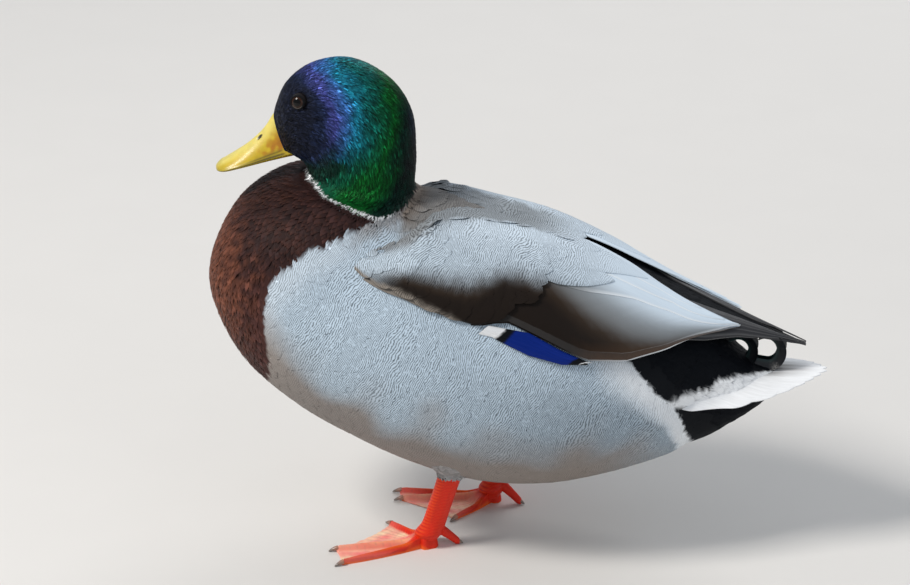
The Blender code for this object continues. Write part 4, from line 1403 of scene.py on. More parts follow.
@dataclass
class Wing:
    """One folded wing: its bed, scapulars and coverts, tertials, speculum and primaries."""

    side: str
    grey: Colour = (0.52, 0.61, 0.69)
    silver: Colour = (0.66, 0.76, 0.85)
    ash: Colour = (0.21, 0.225, 0.235)
    brown: Colour = (0.040, 0.025, 0.015)
    umber: Colour = (0.085, 0.040, 0.016)
    sepia: Colour = (0.009, 0.005, 0.003)
    beige: Colour = (0.27, 0.235, 0.20)
    slate: Colour = (0.032, 0.032, 0.035)
    blue: Colour = (0.003, 0.020, 0.20)
    # painted highlight along the tertials' lower edges
    rim: Colour = (0.85, 0.88, 0.90)
    paler_tone: Colour = (0.20, 0.20, 0.20)
    scapular: Vane = Vane(Tip.ROUND, columns=7, rows=9, widest=0.6, camber=0.03, under=75.0)
    lined: FeatherFinish = FeatherFinish(
        "scapular_feather", roughness=0.68, barbs=0.03, grain=0.00002, contrast=0.64, gloss=0.15
    )
    satin: FeatherFinish = FeatherFinish(
        "tertial_feather", roughness=0.50, barbs=0.07, grain=0.00008, gloss=0.15
    )
    dark: FeatherFinish = FeatherFinish(
        "primary_feather", roughness=0.45, barbs=0.2, grain=0.0001, gloss=0.2
    )
    shiny: FeatherFinish = FeatherFinish(
        "speculum_feather", roughness=0.36, barbs=0.25, grain=0.0001, metallic=0.4, gloss=0.15
    )

    def __post_init__(self) -> None:
        """Makes the layers' surfaces."""
        self.whole = WingPatch(self.side, WING_EDGES, WING_LAYER)
        self.primaries = WingPatch(self.side, PRIMARY_EDGES, ((0.0, 0.6, 2.8),))
        self.speculum = WingPatch(self.side, SPECULUM_EDGES, ((0.0, 0.6, 2.4),))

    def bed(self, patch: WingPatch, sink: float, colour: Test) -> Form:
        """A closed shell under a layer's feathers, from its under side up to just below its outer side."""
        at = np.linspace(patch.edges[0][0], patch.edges[-1][0], 60)
        grid_at, top = np.meshgrid(at, np.linspace(0.01, 0.99, 22), indexing="ij")
        low = -sink * np.sin(math.pi * top) ** 0.5 - 0.9
        outer = patch.point(grid_at, top, low)
        inner = np.minimum(knots(patch.layer, grid_at) - 0.2, patch.height(grid_at, top) + low - 0.5)
        inner = BED.point(grid_at, patch.angle(grid_at, top), inner)
        rings = np.concatenate((outer, inner[:, ::-1]), axis=1)
        tint = colour(outer, grid_at, top)
        # painted shade: the shell takes the layer's colours darkened by a fifth, under the feathers
        return one_tube(rings, np.concatenate((tint, tint[:, ::-1]), axis=1) * 0.8)

    def covert_colour(self, points: Array, at: Array, share: Array) -> Array:
        """Pale grey, with a dark brown band low down that widens to the rear, a beige lower edge and a
        painted shadow along the upper edge.
        """
        uneven = 0.015 * ripple(points, 9.0, 41)
        front = ease(0.40, -0.02, share + 4 * uneven) * ease(5.4, 8.4, at)
        low = knots(((5.9, 1.3), (6.3, 1.0), (7, 0.965), (8.0, 0.93), (9.0, 0.90)), at)
        band = ease(10.4, 8.2, at)
        edge = share + uneven + 0.12 * ease(6.5, 4.8, at)
        # painted shadow: a dark grey line along the wing's upper edge, in the gap between the wings
        groove = ease(0.11, 0.0, share + 2 * uneven) * ease(4.4, 5.4, at) * ease(9.4, 8.2, at)
        return painted(
            self.grey,
            (self.silver, ease(0.62, 0.15, share) * ease(8.0, 5.5, at) * 0.85),
            (MARKS.mantle, front * 0.8),
            (self.brown, ease(0.56, 0.82, edge) * band),
            (self.sepia, ease(0.72, 0.88, edge) * band),
            (self.tertial_colour(at, share), self.fade(at, share)),
            (self.ash, groove * 0.8),
            (self.beige, ease(low - 0.04, low + 0.04, share + uneven)),
        )

    def fade(self, at: Array, share: Array) -> Array:
        """How far the low scapulars have faded into the tertials, towards their rear limit."""
        rear = knots(SCAPULAR_REAR, share)
        return ease(0.5, 0.05, at - rear) * ease(0.60, 0.78, share)

    def line_phase(self, points: Array) -> Array:
        """Phase of the wavy lines, which go across the wing."""
        return points[..., 0] * 0.86 - points[..., 2] * 0.50 + 2.5 * ripple(points, 40.0, 23)

    def paint_covert(self, places: Array, at: Array, turn: Array, flat: Array, maker: Maker) -> tuple:
        """The scapulars share one run of colour, a little uneven from feather to feather."""
        share, side = flat[..., 1], np.abs(flat[..., 0] * 2 - 1)
        bright = np.exp(maker.normal(0, 0.02, len(at)))[:, None, None, None]
        tint = self.covert_colour(places, at, turn) * bright
        # painted shade: each scapular is darker towards its root
        tint = tint * (1 - 0.12 * (1 - ease(0.1, 0.6, share)))[..., None]
        run = self.line_phase(places) + maker.normal(0, 0.10, (len(at), 1, 1)) - 0.3 * side**2
        return tint, ease(0.012, 0.05, tint.mean(axis=-1)) * (1 - self.fade(at, turn)), run

    def paint_scapular(self, points: Array, at: Array, share: Array, flat: Array) -> tuple:
        """A long scapular: as the short ones, with finer lines towards its tip and a thin darker edge that
        is painted shadow.
        """
        colour = self.covert_colour(points, at, share)
        # painted shadow: a thin dark line just inside the lower edge
        colour = mix(colour, colour * 0.35, bell(flat[..., 0], 0.97, 0.02) * 0.7)
        return colour, 0.85 * ease(3.4, 4.6, at), self.line_phase(points)

    def tertial_colour(self, at: Array, share: Array) -> Array:
        """Silver above and behind, through grey and brown to nearly black low down in front."""
        place = share + 0.20 * (at - 3.6)
        return painted(
            self.silver,
            (self.ash, ease(0.34, 0.72, place)),
            (self.brown, ease(0.68, 0.90, place)),
            (self.sepia, ease(0.80, 1.02, place) * ease(3.3, 4.2, at)),
            (self.umber, ease(0.88, 0.99, share) * ease(4.6, 4.1, at) * 0.6),
        )

    def paint_tertial(self, points: Array, at: Array, share: Array, flat: Array) -> tuple:
        """The tertial's own colours with a thin dark line of painted shadow inside a pale rim of painted
        highlight.
        """
        colour = self.tertial_colour(at, share)
        across = flat[..., 0]
        rear = ease(4.9, 4.2, at)
        # painted shadow: a thin dark line just inside the lower edge, towards the rear
        colour = mix(colour, colour * 0.3, bell(across, 0.93, 0.022) * 0.7 * rear)
        # painted highlight: a pale rim along the lower edge
        pale = ease(0.945, 0.975, across) * rear * ease(4.8, 3.6, at)
        return mix(colour, self.rim, pale * 0.9), 0.0, points[..., 0]

    def paint_primary(self, points: Array, at: Array, share: Array, flat: Array) -> tuple:
        """Slate with paler edges."""
        edge = np.maximum(ease(0.82, 0.97, flat[..., 0]), ease(0.12, 0.02, flat[..., 0]))
        return mix(self.slate, self.paler_tone, edge * 0.4), 0.0, points[..., 0]

    def paint_speculum(self, points: Array, at: Array, share: Array, flat: Array) -> tuple:
        """From front to rear: a white bar, a black one, blue, black and a white edge."""
        place = at - 0.17 * (share - 0.5) + 0.006 * ripple(points, 3.0, 44)
        colour = painted(
            MARKS.white,
            (MARKS.black, ease(4.36, 4.38, place)),
            (self.blue, ease(4.50, 4.54, place)),
            (MARKS.black, ease(5.46, 5.50, place)),
            (MARKS.white, ease(5.60, 5.63, place)),
        )
        return colour, 0.0, points[..., 0]

    def strips(self, patch: WingPatch, strips: list[Strip], paint: Paint) -> Form:
        """Several long feathers as one form, each with its own column of the baking map."""
        width = 0.96 / len(strips)
        forms = []
        for k, strip in enumerate(strips):
            forms.append(strip.form(patch, paint, (0.02 + k * width, width * 0.94), (k * 0.37 + 0.11) % 1))
        return joined(forms)

    def under(self, points: Array, at: Array, share: Array) -> Array:
        """The coverts' colours in front and the tertials' behind."""
        return mix(self.covert_colour(points, at, share), self.tertial_colour(at, share), ease(6, 5, at))

    def inside(self, at: Array, turn: Array) -> Array:
        """True where a scapular's vane stays within the wing's lower edge and ahead of the tertials."""
        across = self.whole.frame(at, turn)[4]
        low = (1 - turn) * across > 4.5 * ease(11.6, 9.5, at)
        return low & (at > knots(SCAPULAR_REAR, turn) + 0.1)

    def size(self, at: Array, turn: Array) -> Array:
        """Scapulars are largest at the rear."""
        return np.interp(at, (4.3, 6.0, 9.0, 11.0), (1.0, 0.95, 0.7, 0.5))

    def build_beds(self) -> None:
        """Makes the shells under the feathers."""
        beds = [
            self.bed(self.whole, 3.4, self.under),
            self.bed(self.primaries, 1.2, lambda points, at, share: plain(self.slate, points)),
            self.bed(self.speculum, 0.9, lambda points, at, share: plain(MARKS.black, points)),
        ]
        finish = Finish("wing_bed", roughness=0.7, grain=0.0002)
        add_piece(f"wing_{self.side}_bed", joined(beds), finish, "wing_grey", (f"wing_{self.side}_coverts",))

    def build_scapulars(self) -> None:
        """Makes the short scapulars and the three long ones over the tertials."""
        cover = Cover(f"wing_{self.side}_scapulars", self.lined, "wing_grey", self.scapular,
                      (4.75, 11.5, -0.16, 1.02), 4.8, 26.0, 6.4, 1.2, 60 + SIDES[self.side],
                      spread=0.05, lift=0.08, ragged=0.3)
        form = cover.grow(self.whole, self.paint_covert, self.inside, self.size)
        form = joined([form, self.strips(self.whole, LONG_SCAPULARS, self.paint_scapular)])
        add_piece(cover.name, form, self.lined, "wing_grey", (f"wing_{self.side}_tertials",))

    def build_long(
        self, kind: str, patch: WingPatch, strips: list[Strip], paint: Paint, finish: Finish, slot: str,
        nodes: tuple[str, ...] = (),
    ) -> None:
        """Makes one kind of long feathers as a piece."""
        form = self.strips(patch, strips, paint)
        add_piece(f"wing_{self.side}_{kind}_feathers", form, finish, slot, nodes)

    def build(self) -> None:
        """Makes the wing's pieces."""
        self.build_beds()
        self.build_scapulars()
        self.build_long("tertial", self.whole, TERTIALS, self.paint_tertial, self.satin, "tertial_brown")
        self.build_long("primary", self.primaries, primary_strips(), self.paint_primary, self.dark,
                        "primary_slate", (f"wing_{self.side}_primaries",))
        self.build_long("speculum", self.speculum, speculum_strips(), self.paint_speculum, self.shiny,
                        "speculum_blue", (f"wing_{self.side}_speculum",))


# ---- tail


class TailFan(Surface):
    """The tail's upper side: at is the place along X and turn the one along Y, both in millimetres."""

    height = 119.0
    droop = 10.0
    half_width = 39.5
    widest = 115.0
    tip = 198.0

    def point(self, at: Array, turn: Array, grow: Array | float = 0.0) -> Array:
        """A sheet that hangs lower by the square of the distance from its middle line."""
        z = self.height - self.droop * (turn / self.half_width) ** 2 + grow
        return np.stack(np.broadcast_arrays(at, turn, z), axis=-1)

    def outline(self, at: Array) -> Array:
        """Half-width of the fan: nearly even, then narrowing in a curve to the tip."""
        share = np.clip((at - self.widest) / (self.tip + 1 - self.widest), 0, 1)
        return self.half_width * (1 - share**2.6) ** 0.75


@dataclass(frozen=True)
class Curl:
    """Where a curled feather runs: round an oval, from one angle in degrees to another."""

    offset: float  # from the middle line
    centre: tuple[float, float]
    radii: tuple[float, float]
    start: float
    end: float
    cell: float  # where its column starts on the baking map


@dataclass
class Tail:
    """The white tail feathers, and the two pairs of curled black ones over them."""

    count: int = 14
    base: float = 91.0
    half: float = 8.4
    white: Colour = (0.88, 0.89, 0.90)
    dusk: Colour = (0.20, 0.19, 0.185)
    gloss: Colour = (0.004, 0.022, 0.022)
    finish: FeatherFinish = FeatherFinish("tail_feather", roughness=0.6, barbs=0.16, grain=0.0002)
    glossy: FeatherFinish = FeatherFinish("curl_feather", roughness=0.36, barbs=0.4, grain=0.0003)
    columns: int = 9
    curl_half: float = 3.7
    curl_lean: float = 34.0  # degrees

    def feather(self, k: int) -> Form:
        """One tail feather, which runs out from the base to its place on the outline."""
        fan = TailFan()
        place = (k - (self.count - 1) / 2) / ((self.count - 1) / 2)
        reach = np.linspace(fan.widest, fan.tip, 300)
        level = abs(place) * (fan.half_width - 6.0) + 2.2
        tip = reach[np.argmin(np.abs(fan.outline(reach) - level))]
        share, loop = crowded(34, 1.4), both_ways(self.columns)
        x = self.base + (tip - self.base) * share
        past = np.clip((share - 0.74) / 0.26, 0, 1)
        half = self.half * (0.75 + 0.25 * ease(0, 0.4, share)) * np.maximum((1 - past**1.9) ** 0.75, 0.04)
        near = 0.62 + 0.56 * abs(place) ** 4
        middle = place * (fan.half_width - 7.5) * (near + (1 - near) * ease(0.0, 0.75, share))
        y = middle[:, None] + half[:, None] * loop
        lift = 1.2 - 0.9 * abs(place) - 0.35 * np.abs(loop) ** 2 - top_and_bottom(self.columns, 0.0, 0.45)
        lift = lift + 6.0 * ease(115.0, 91.0, x)[:, None]
        points = fan.point(np.broadcast_to(x[:, None], y.shape), y, np.broadcast_to(lift, y.shape))
        centre = 1 - ease(0.12, 0.42, np.full(y.shape, abs(place)))
        dark = centre * (0.35 + 0.65 * bell(loop, 0.0, 0.35)) * ease(1.0, 0.7, share)[:, None]
        cell = 0.96 / self.count
        return long_feather(points, flat_places(loop, share), mix(self.white, self.dusk, dark), 0.0,
                            x[:, None], (k * 0.618) % 1, (0.02 + k * cell, cell * 0.94))

    def curl(self, side: str, plan: Curl) -> Form:
        """A curled feather: a hollowed ribbon round an oval, leaning outwards and narrowing to its tip."""
        share = np.linspace(0, 1, 72)
        angle = np.radians(plan.start + (plan.end - plan.start) * share)
        loop = both_ways(self.columns)
        lean = math.radians(self.curl_lean)
        half = self.curl_half * (1 - 0.9 * np.clip((share - 0.6) / 0.4, 0, 1) ** 2.2)
        thick = top_and_bottom(self.columns, 0.4, -0.25) * (1 - 0.6 * np.abs(loop)) + 0.5 * np.abs(loop) ** 2
        wide = half[:, None] * loop
        out = wide * math.cos(lean) - thick * math.sin(lean)
        beside = wide * math.sin(lean) + thick * math.cos(lean)
        root = 1 + 0.9 * ease(0.14, 0.0, share)
        x = plan.centre[0] + (plan.radii[0] * root[:, None] + out) * np.cos(angle)[:, None]
        z = plan.centre[1] + (plan.radii[1] + out) * np.sin(angle)[:, None]
        y = SIDES[side] * (plan.offset + beside)
        points = np.stack((x, y, z), axis=-1)
        tint = mix(MARKS.black, self.gloss, np.broadcast_to(ease(0.2, 1.0, -loop), x.shape))
        column = (plan.cell + 0.5 * (side == "left"), 0.22)
        return long_feather(points, flat_places(loop, share), tint, 0.0, 0 * x, plan.offset % 1, column)

    def build(self) -> None:
        """Makes the fan and the curls."""
        order = sorted(range(self.count), key=lambda k: -abs(k - (self.count - 1) / 2))
        fan = joined([self.feather(k) for k in order])
        add_piece("tail_feathers", fan, self.finish, "tail_white", ("tail",))
        curls, nodes = [], []
        for side in SIDES:
            curls.append(self.curl(side, Curl(4.4, (140.6, 132.5), (9.8, 10.2), -100, 205, 0.02)))
            curls.append(self.curl(side, Curl(4.4, (159.2, 132.9), (9.2, 10.3), -128, 132, 0.27)))
            nodes += [f"tail_curl_front_{side}", f"tail_curl_rear_{side}"]
        add_piece("tail_curls", joined(curls), self.glossy, "rump_black", tuple(nodes))


# ---- bill and eyes


@dataclass
class Bill:
    """The bill: an upper half with nostrils, nail and lip, and the lower half under it."""

    gape: tuple[float, float, float] = (-144.0, 0.0, 258.8)
    length: float = 50.6
    pitch: float = math.radians(16.8)
    rows: int = 90
    around: int = 72
    heights: Knots = (
        (-0.12, 28.0), (0.02, 25.0), (0.12, 21.0), (0.22, 17.6), (0.34, 14.4), (0.46, 11.8), (0.58, 9.6),
        (0.7, 7.6), (0.8, 6.0), (0.88, 4.7), (0.94, 3.5), (0.985, 2.0), (1.0, 1.2),
    )
    nostril: tuple[float, float] = (0.33, 0.90)  # share along the bill, height as a share of the ridge
    yellow: Colour = (0.60, 0.42, 0.020)
    # paler yellow: the painted highlight on top of the bill
    pale: Colour = (0.82, 0.74, 0.24)
    orange: Colour = (0.42, 0.14, 0.010)
    olive: Colour = (0.26, 0.23, 0.03)
    dark: Colour = (0.030, 0.022, 0.010)
    finish: Finish = Finish("bill_horn", roughness=0.38, mottle=0.12, mottle_size=0.004, grain=0.00008,
                            grain_size=0.0012, coat=0.12, glow=0.05, gloss=0.4)

    def width(self, share: Array) -> Array:
        """Half-width: narrow behind the nostrils, widest near the round tip."""
        blade = 9.8 + 2.2 * np.sin(math.pi * np.clip((share - 0.25) / 0.95, 0, 1)) ** 1.5
        tip = np.sqrt(np.maximum(0, 1 - np.maximum(0, (share - 0.8) / 0.2) ** 2.4))
        return np.maximum(0.6, blade * tip)

    def place(self, reach: Array, across: Array, rise: Array) -> Array:
        """A place from its distance along the mouth line, across and above it."""
        along = np.array((-math.cos(self.pitch), 0.0, -math.sin(self.pitch)))
        above = np.array((-math.sin(self.pitch), 0.0, math.cos(self.pitch)))
        side = np.stack((0 * across, across, 0 * across), axis=-1)
        return np.array(self.gape) + reach[..., None] * along + side + rise[..., None] * above

    def loops(self, share: Array, height: Array, width: Array) -> tuple[Array, Array, Array]:
        """Half-round loops with a flat side: reach, across and rise for each share and angle."""
        angle = np.linspace(0, math.pi, self.around)[None]
        lean = 0.165 * np.maximum(0, 1 - share / 0.55)
        rise = np.sin(angle) ** 0.9 * height[:, None]
        pinch = 1 - 0.12 * np.sin(angle) - 0.05 * np.sin(2 * angle) ** 2
        across = np.cos(angle) * width[:, None] * pinch
        return share[:, None] * self.length + lean[:, None] * rise, across, rise

    def upper(self) -> Form:
        """The upper half, with hollow nostrils, a low ridge, a lip along its edge and a nail at its tip."""
        share = -0.10 + 1.098 * crowded(self.rows, 1.25)
        height = knots(self.heights, share)
        height = np.convolve(np.pad(height, 4, mode="edge"), np.ones(9) / 9, "valid")
        reach, across, rise = self.loops(share, height, self.width(share))
        level = rise / np.maximum(height[:, None], 1e-6)
        angle = np.linspace(0, math.pi, self.around)[None]
        lip = bell(level, 0.10, 0.08) * ease(0.0, 0.15, share)[:, None]
        hole = self.hole(reach, rise, height)
        across = across * (1 + 0.035 * lip) * (1 - 0.22 * hole)
        nail = ease(0.86, 0.93, share)[:, None] * ease(0.55, 0.85, np.sin(angle))
        rise = rise + 0.55 * nail * ease(1.0, 0.985, share)[:, None]
        ridge = bell(angle, math.pi / 2, 0.35) * ease(0.75, 0.2, share)[:, None]
        points = self.place(reach, across, rise + 0.5 * ridge)
        return one_tube(points, self.upper_colour(points, share[:, None] + 0 * level, level, nail, hole))

    def hole(self, reach: Array, rise: Array, height: Array) -> Array:
        """1 in the middle of a nostril: an oval that lies along the bill."""
        x = (reach - self.nostril[0] * self.length) / 2.3
        z = (rise - self.nostril[1] * height[:, None]) / 0.9
        return np.exp(-((x**2 + z**2) ** 2))

    def upper_colour(self, points: Array, share: Array, level: Array, nail: Array, hole: Array) -> Array:
        """Yellow, paler on top as painted highlight, orange at the base, olive towards the nail and as
        painted shade low down, a dark edge, and a nostril in painted shade.
        """
        uneven = 0.6 * ripple(points, 11.0, 61) + 0.5 * ripple(points, 5.3, 62)
        blotch = ease(-0.1, 0.7, uneven + 0.9 * ease(0.50, 0.15, share) - 0.35)
        low = ease(0.85, 0.35, level) * ease(0.10, 0.25, level)
        seam = bell(level, 0.17, 0.03) * ease(0.75, 0.4, share) * 0.8
        line = np.maximum(bell(level, 0.05, 0.04), seam) * ease(0.03, 0.10, share)
        return painted(
            self.yellow,
            # painted highlight: paler on top
            (self.pale, ease(0.5, 0.95, level) * 0.6),
            (self.orange, blotch * ease(0.55, 0.2, share) * low * 0.85),
            (self.olive, ease(0.7, 1.0, share) * ease(0.9, 0.3, level) * 0.55),
            (self.olive, nail * 0.35),
            # painted shade: olive low on the sides
            (self.olive, ease(0.34, 0.08, level) * ease(0.06, 0.2, share) * 0.5),
            (self.dark, line * 0.85),
            # painted shade: dark inside the nostril
            (self.dark, ease(0.35, 0.8, hole)),
        )

    def lower(self) -> Form:
        """The lower half: a shallow trough, narrower than the upper, with fine plates on its sides."""
        share = -0.08 + 1.05 * crowded(self.rows, 1.2)
        depth = -(3.6 - 1.6 * share)
        reach, across, rise = self.loops(share, depth, np.maximum(self.width(share) - 1.3, 0.5))
        level = rise / depth[:, None]
        comb = np.sin(reach * TAU / 1.1) * ease(0.45, 0.1, level)
        colour = painted(
            self.yellow,
            (self.orange, ease(0.2, 0.6, level) * ease(0.5, 0.1, share)[:, None]),
            # painted shade: darker in the troughs between the plates
            (self.dark, ease(0.0, -1.0, comb) * ease(0.5, 0.1, level) * 0.7),
        )
        return one_tube(self.place(reach, across * (1 + 0.02 * comb), rise - 0.35), colour)

    def build(self) -> None:
        """Makes both halves."""
        for half, form in (("upper", self.upper()), ("lower", self.lower())):
            add_piece(f"bill_{half}_horn", form, self.finish, "bill_yellow", (f"bill_{half}",), sharp=70.0)


@dataclass(frozen=True)
class EyeFinish(Finish):
    """A dark brown iris round a black pupil under a clear wet front."""

    def colour(self, tree: Tree) -> Wire:
        """The colour of the points, with fine rays."""
        rays = tree.noise(0.0007, 3.0)
        return tree.shade(tree.attribute("Tint", "Color"), rays * 0.7 + 0.65)


@dataclass
class Eye:
    """An eyeball turned round the way it looks, with a slight bulge over the iris."""

    side: str
    rows: int = 40
    around: int = 48
    iris: float = math.radians(47)
    pupil: float = math.radians(25)
    black: Colour = (0.002, 0.002, 0.002)
    brown: Colour = (0.030, 0.011, 0.005)
    rim: Colour = (0.01, 0.008, 0.008)
    finish: EyeFinish = EyeFinish("eye_glass", roughness=0.06, grain=0.0, coat=0.15, gloss=0.15)

    def build(self) -> None:
        """Makes the eyeball: rings at equal angles from the pole that looks outwards."""
        centre, out, ahead, above = eye_frame(self.side)
        rows = np.linspace(0.02, math.pi - 0.02, self.rows)
        polar, turn = np.meshgrid(rows, all_round(self.around), indexing="ij")
        radius = EYE_RADIUS * (1 + 0.03 * bell(polar, 0.0, 0.6))
        ring = np.cos(turn)[..., None] * ahead + np.sin(turn)[..., None] * above
        points = (radius * np.sin(polar))[..., None] * ring + (radius * np.cos(polar))[..., None] * out
        tint = painted(
            self.black,
            (self.brown, ease(self.pupil, self.pupil + 0.08, polar)),
            (self.rim, ease(self.iris - 0.1, self.iris + 0.15, polar)),
        )
        form = one_tube(points + centre, tint)
        add_piece(f"eyeball_{self.side}", form, self.finish, "eye_dark", (f"eye_{self.side}",), sharp=80.0)


# ---- legs


@dataclass(frozen=True)
class FootPlan:
    """Where a foot's toe joint stands, how far its middle toe turns outwards, and the others' spread."""

    joint: tuple[float, float]
    turn: float
    inner: float
    outer: float


FEET = {
    "left": FootPlan((-53.6, -34.0), 13.0, -56.0, 18.5),
    "right": FootPlan((-18.0, 36.5), -6.0, -48.0, 11.0),
}


@dataclass
class Leg:
    """A bare shank with its webbed foot, hind toe and claws."""

    side: str
    lengths: tuple[float, float, float] = (40.0, 62.0, 64.0)
    girths: tuple[float, float, float] = (3.0, 3.4, 3.3)
    web: float = 1.2
    knuckle_radius: float = 8.0
    knuckle_height: float = 9.0
    heel_inset: float = 3.2  # how much closer the heel's edge lies
    scute: float = 2.4  # from one cross scale to the next
    orange: Colour = (0.72, 0.024, 0.006)
    # a deeper red: painted shade in the grooves between scales
    deep: Colour = (0.33, 0.008, 0.004)
    # a lighter orange: painted highlight on the tops of the toes and the crests of the scales, and the soles
    light: Colour = (0.92, 0.16, 0.02)
    pink: Colour = (0.93, 0.33, 0.27)
    peach: Colour = (0.95, 0.62, 0.42)
    horn: Colour = (0.20, 0.165, 0.14)
    quick: Colour = (0.50, 0.22, 0.14)
    finish: Finish = Finish("leg_skin", roughness=0.45, mottle=0.06, mottle_size=0.0022, grain=0.00014,
                            grain_size=0.0010, glow=0.04, gloss=0.25)
    claws: Finish = Finish("claw_keratin", roughness=0.35, mottle=0.3, grain=0.00005, coat=0.3)

    def __post_init__(self) -> None:
        """Reads the foot's plan."""
        self.plan = FEET[self.side]
        self.splays = (self.plan.inner, 0.0, self.plan.outer)
        self.knuckle = np.array((*self.plan.joint, self.knuckle_height + 0.35))
        self.heel = np.array(ANKLES[self.side])

    def reach(self, splay: Array) -> Array:
        """Length of the webbed foot at an angle from the middle toe, a little hollowed between the tips."""
        behind = np.abs(splay - (self.plan.inner + self.plan.outer) / 2)
        edge = self.knuckle_radius - self.heel_inset * ease(60.0, 110.0, behind)
        for k in (0, 1):
            spread = self.splays[k + 1] - self.splays[k]
            share = np.clip((splay - self.splays[k]) / spread, 0, 1)
            wide = math.radians(spread)
            line = math.sin(wide) / (
                np.sin((1 - share) * wide) / self.lengths[k] + np.sin(share * wide) / self.lengths[k + 1]
            )
            line = line * (1 - 0.0012 * spread * np.sin(math.pi * share) ** 0.8)
            edge = np.where((splay >= self.splays[k]) & (splay <= self.splays[k + 1]), line, edge)
        for k, beyond in ((0, self.splays[0] - splay), (2, splay - self.splays[2])):
            fall = np.maximum(0, 1 - np.maximum(beyond, 0) / 9.0) ** 1.5
            outside = edge + (self.lengths[k] - edge) * fall
            edge = np.where((beyond > 0) & (beyond < 60), outside, edge)
        return edge

    def surface(self, radius: Array, splay: Array) -> tuple[Array, Array]:
        """Height of the foot, and how far a place belongs to a toe and not to the web.

        The web is level, each toe is a bell-shaped ridge with cross scales, and the knuckle is a dome.
        """
        ridges, belongs = np.zeros(radius.shape), np.zeros(radius.shape)
        for splay_at, length, girth, share in zip(self.splays, self.lengths, self.girths, (1.0, 0.55, 1.0)):
            beside = radius * np.sin(np.radians(np.minimum(90, np.abs(splay - splay_at))))
            ridge = girth * (1 - 0.3 * np.minimum(1, radius / length))
            joints = 1 + 0.10 * np.cos(radius / length * TAU * 2.6)
            hump = bell(beside, 0.0, ridge * joints)
            scales = 0.16 * np.abs(np.sin(radius * math.pi / self.scute)) * hump
            ridges = np.maximum(ridges, 1.8 * ridge * hump + scales)
            belongs = np.maximum(belongs, ease(0.12, 0.5, hump) * share)
        folds = 0.22 * np.sin(splay * 0.9 + radius * 0.05) + 0.10 * np.sin(radius * 1.15 + splay * 0.12)
        height = np.maximum(self.web + folds * (1 - belongs), ridges)
        blend = np.clip((radius - self.knuckle_radius) / 12.0, 0, 1)
        rise = 3 * blend**2 - 2 * blend**3
        dome = self.knuckle_height * (1 - 0.12 * (radius / self.knuckle_radius).clip(0, 1) ** 3)
        return dome + (height - dome) * rise, np.maximum(belongs, 1 - rise)

    def place(self, radius: Array, splay: Array, height: Array) -> Array:
        """A place from its polar place about the toe joint."""
        turn = np.radians(splay + self.plan.turn)
        x = self.plan.joint[0] - radius * np.cos(turn)
        y = self.plan.joint[1] + SIDES[self.side] * radius * np.sin(turn)
        return np.stack(np.broadcast_arrays(x, y, height), axis=-1)

    def foot(self) -> Form:
        """The foot: rows from the knuckle's middle out to its rim, down to the ground and back under."""
        front = np.linspace(self.plan.inner - 9, self.plan.outer + 9, 150)
        rear = np.linspace(self.plan.outer + 15, self.plan.inner + 345, 30)
        splay = np.concatenate((front, rear))[None]
        limit = self.reach(splay)
        share = np.concatenate((np.linspace(0.01, 0.965, 64), (0.985, 1.0)))[:, None]
        radius = share * limit
        height, belongs = self.surface(radius, splay + 0 * radius)
        rim = np.array([1.0] * 64 + [0.82, 0.5])[:, None]
        heel = ease(60.0, 100.0, np.abs(splay - (self.plan.inner + self.plan.outer) / 2))
        rim = rim * (1 - heel * (1 - np.sqrt(np.clip(1 - share**2.4, 0.02, 1))))
        top = self.place(radius, splay + 0 * radius, height * rim)
        sole = [self.place(limit * s, splay, np.zeros(splay.shape)) for s in (0.985, 0.4, 0.02)]
        rings = np.concatenate((top, *sole))
        webbed = mix(self.pink, self.peach, 0.5 + 0.5 * ripple(top, 14.0, 71))
        # painted highlight: the toes are lighter along their raised tops
        toe = mix(self.orange, self.light, ease(3.5, 6.0, height) * ease(12, 20, radius))
        # painted shade: darker in the grooves between the toes' scales
        grooves = np.abs(np.sin(radius * math.pi / self.scute))
        toe = mix(toe, self.deep, ease(0.35, 0.0, grooves) * 0.5 * ease(10, 16, radius))
        pale = mix(toe, self.pink, ease(0.45, 1.0, share) * ease(20, 40, radius) * 0.30)
        tint = mix(webbed, pale, belongs)
        return one_tube(rings, np.concatenate((tint, plain(self.light, rings[-3:]))))

    def shank(self) -> Form:
        """The shank from inside the knuckle up into the thigh, with a row of broad scales in front."""
        share = np.linspace(-0.12, 1.12, 110)[:, None]
        turn = all_round(56)[None]
        swell = 1 + 0.12 * (2 * share - 1).clip(-1, 1) ** 4
        flare = ease(0.24, -0.02, share) ** 1.5
        rise = share * np.linalg.norm(self.heel - self.knuckle)
        frontal = ease(-0.1, -0.75, np.cos(turn))
        rings = np.abs(np.sin(rise * math.pi / self.scute + 0.25 * np.sin(3 * turn)))
        side = np.sin(rise * TAU / 2.0 + 2 * np.sin(turn * 5)) * np.sin(turn * 11 + rise * 0.8)
        relief = 0.26 * frontal * rings + 0.10 * (1 - frontal) * side
        groove = -0.5 * bell(np.abs(np.sin(turn)), 1.0, 0.05) * ease(0.1, 0.4, share)
        tuck = 1 - 0.26 * ease(0.04, -0.12, share)
        depth = (7.4 * swell + relief + groove + 0.9 * flare) * tuck
        width = (5.2 * swell + relief + groove + 2.0 * flare) * tuck
        centre = self.knuckle + (self.heel - self.knuckle) * share[..., None]
        x, y = depth * np.cos(turn) - 1.6 * flare, width * np.sin(turn)
        points = centre + np.stack((x, y, 0 * x), axis=-1)
        # painted highlight on the raised crests of the scales, and painted shade in the grooves between them
        paler_tone = (ease(0.5, 1.0, rings) * frontal) * 0.3 + 0.12 * side * (1 - frontal)
        dark = ease(0.45, 0.05, rings) * frontal * 0.6
        return one_tube(points, painted(self.orange, (self.deep, dark), (self.light, paler_tone)))

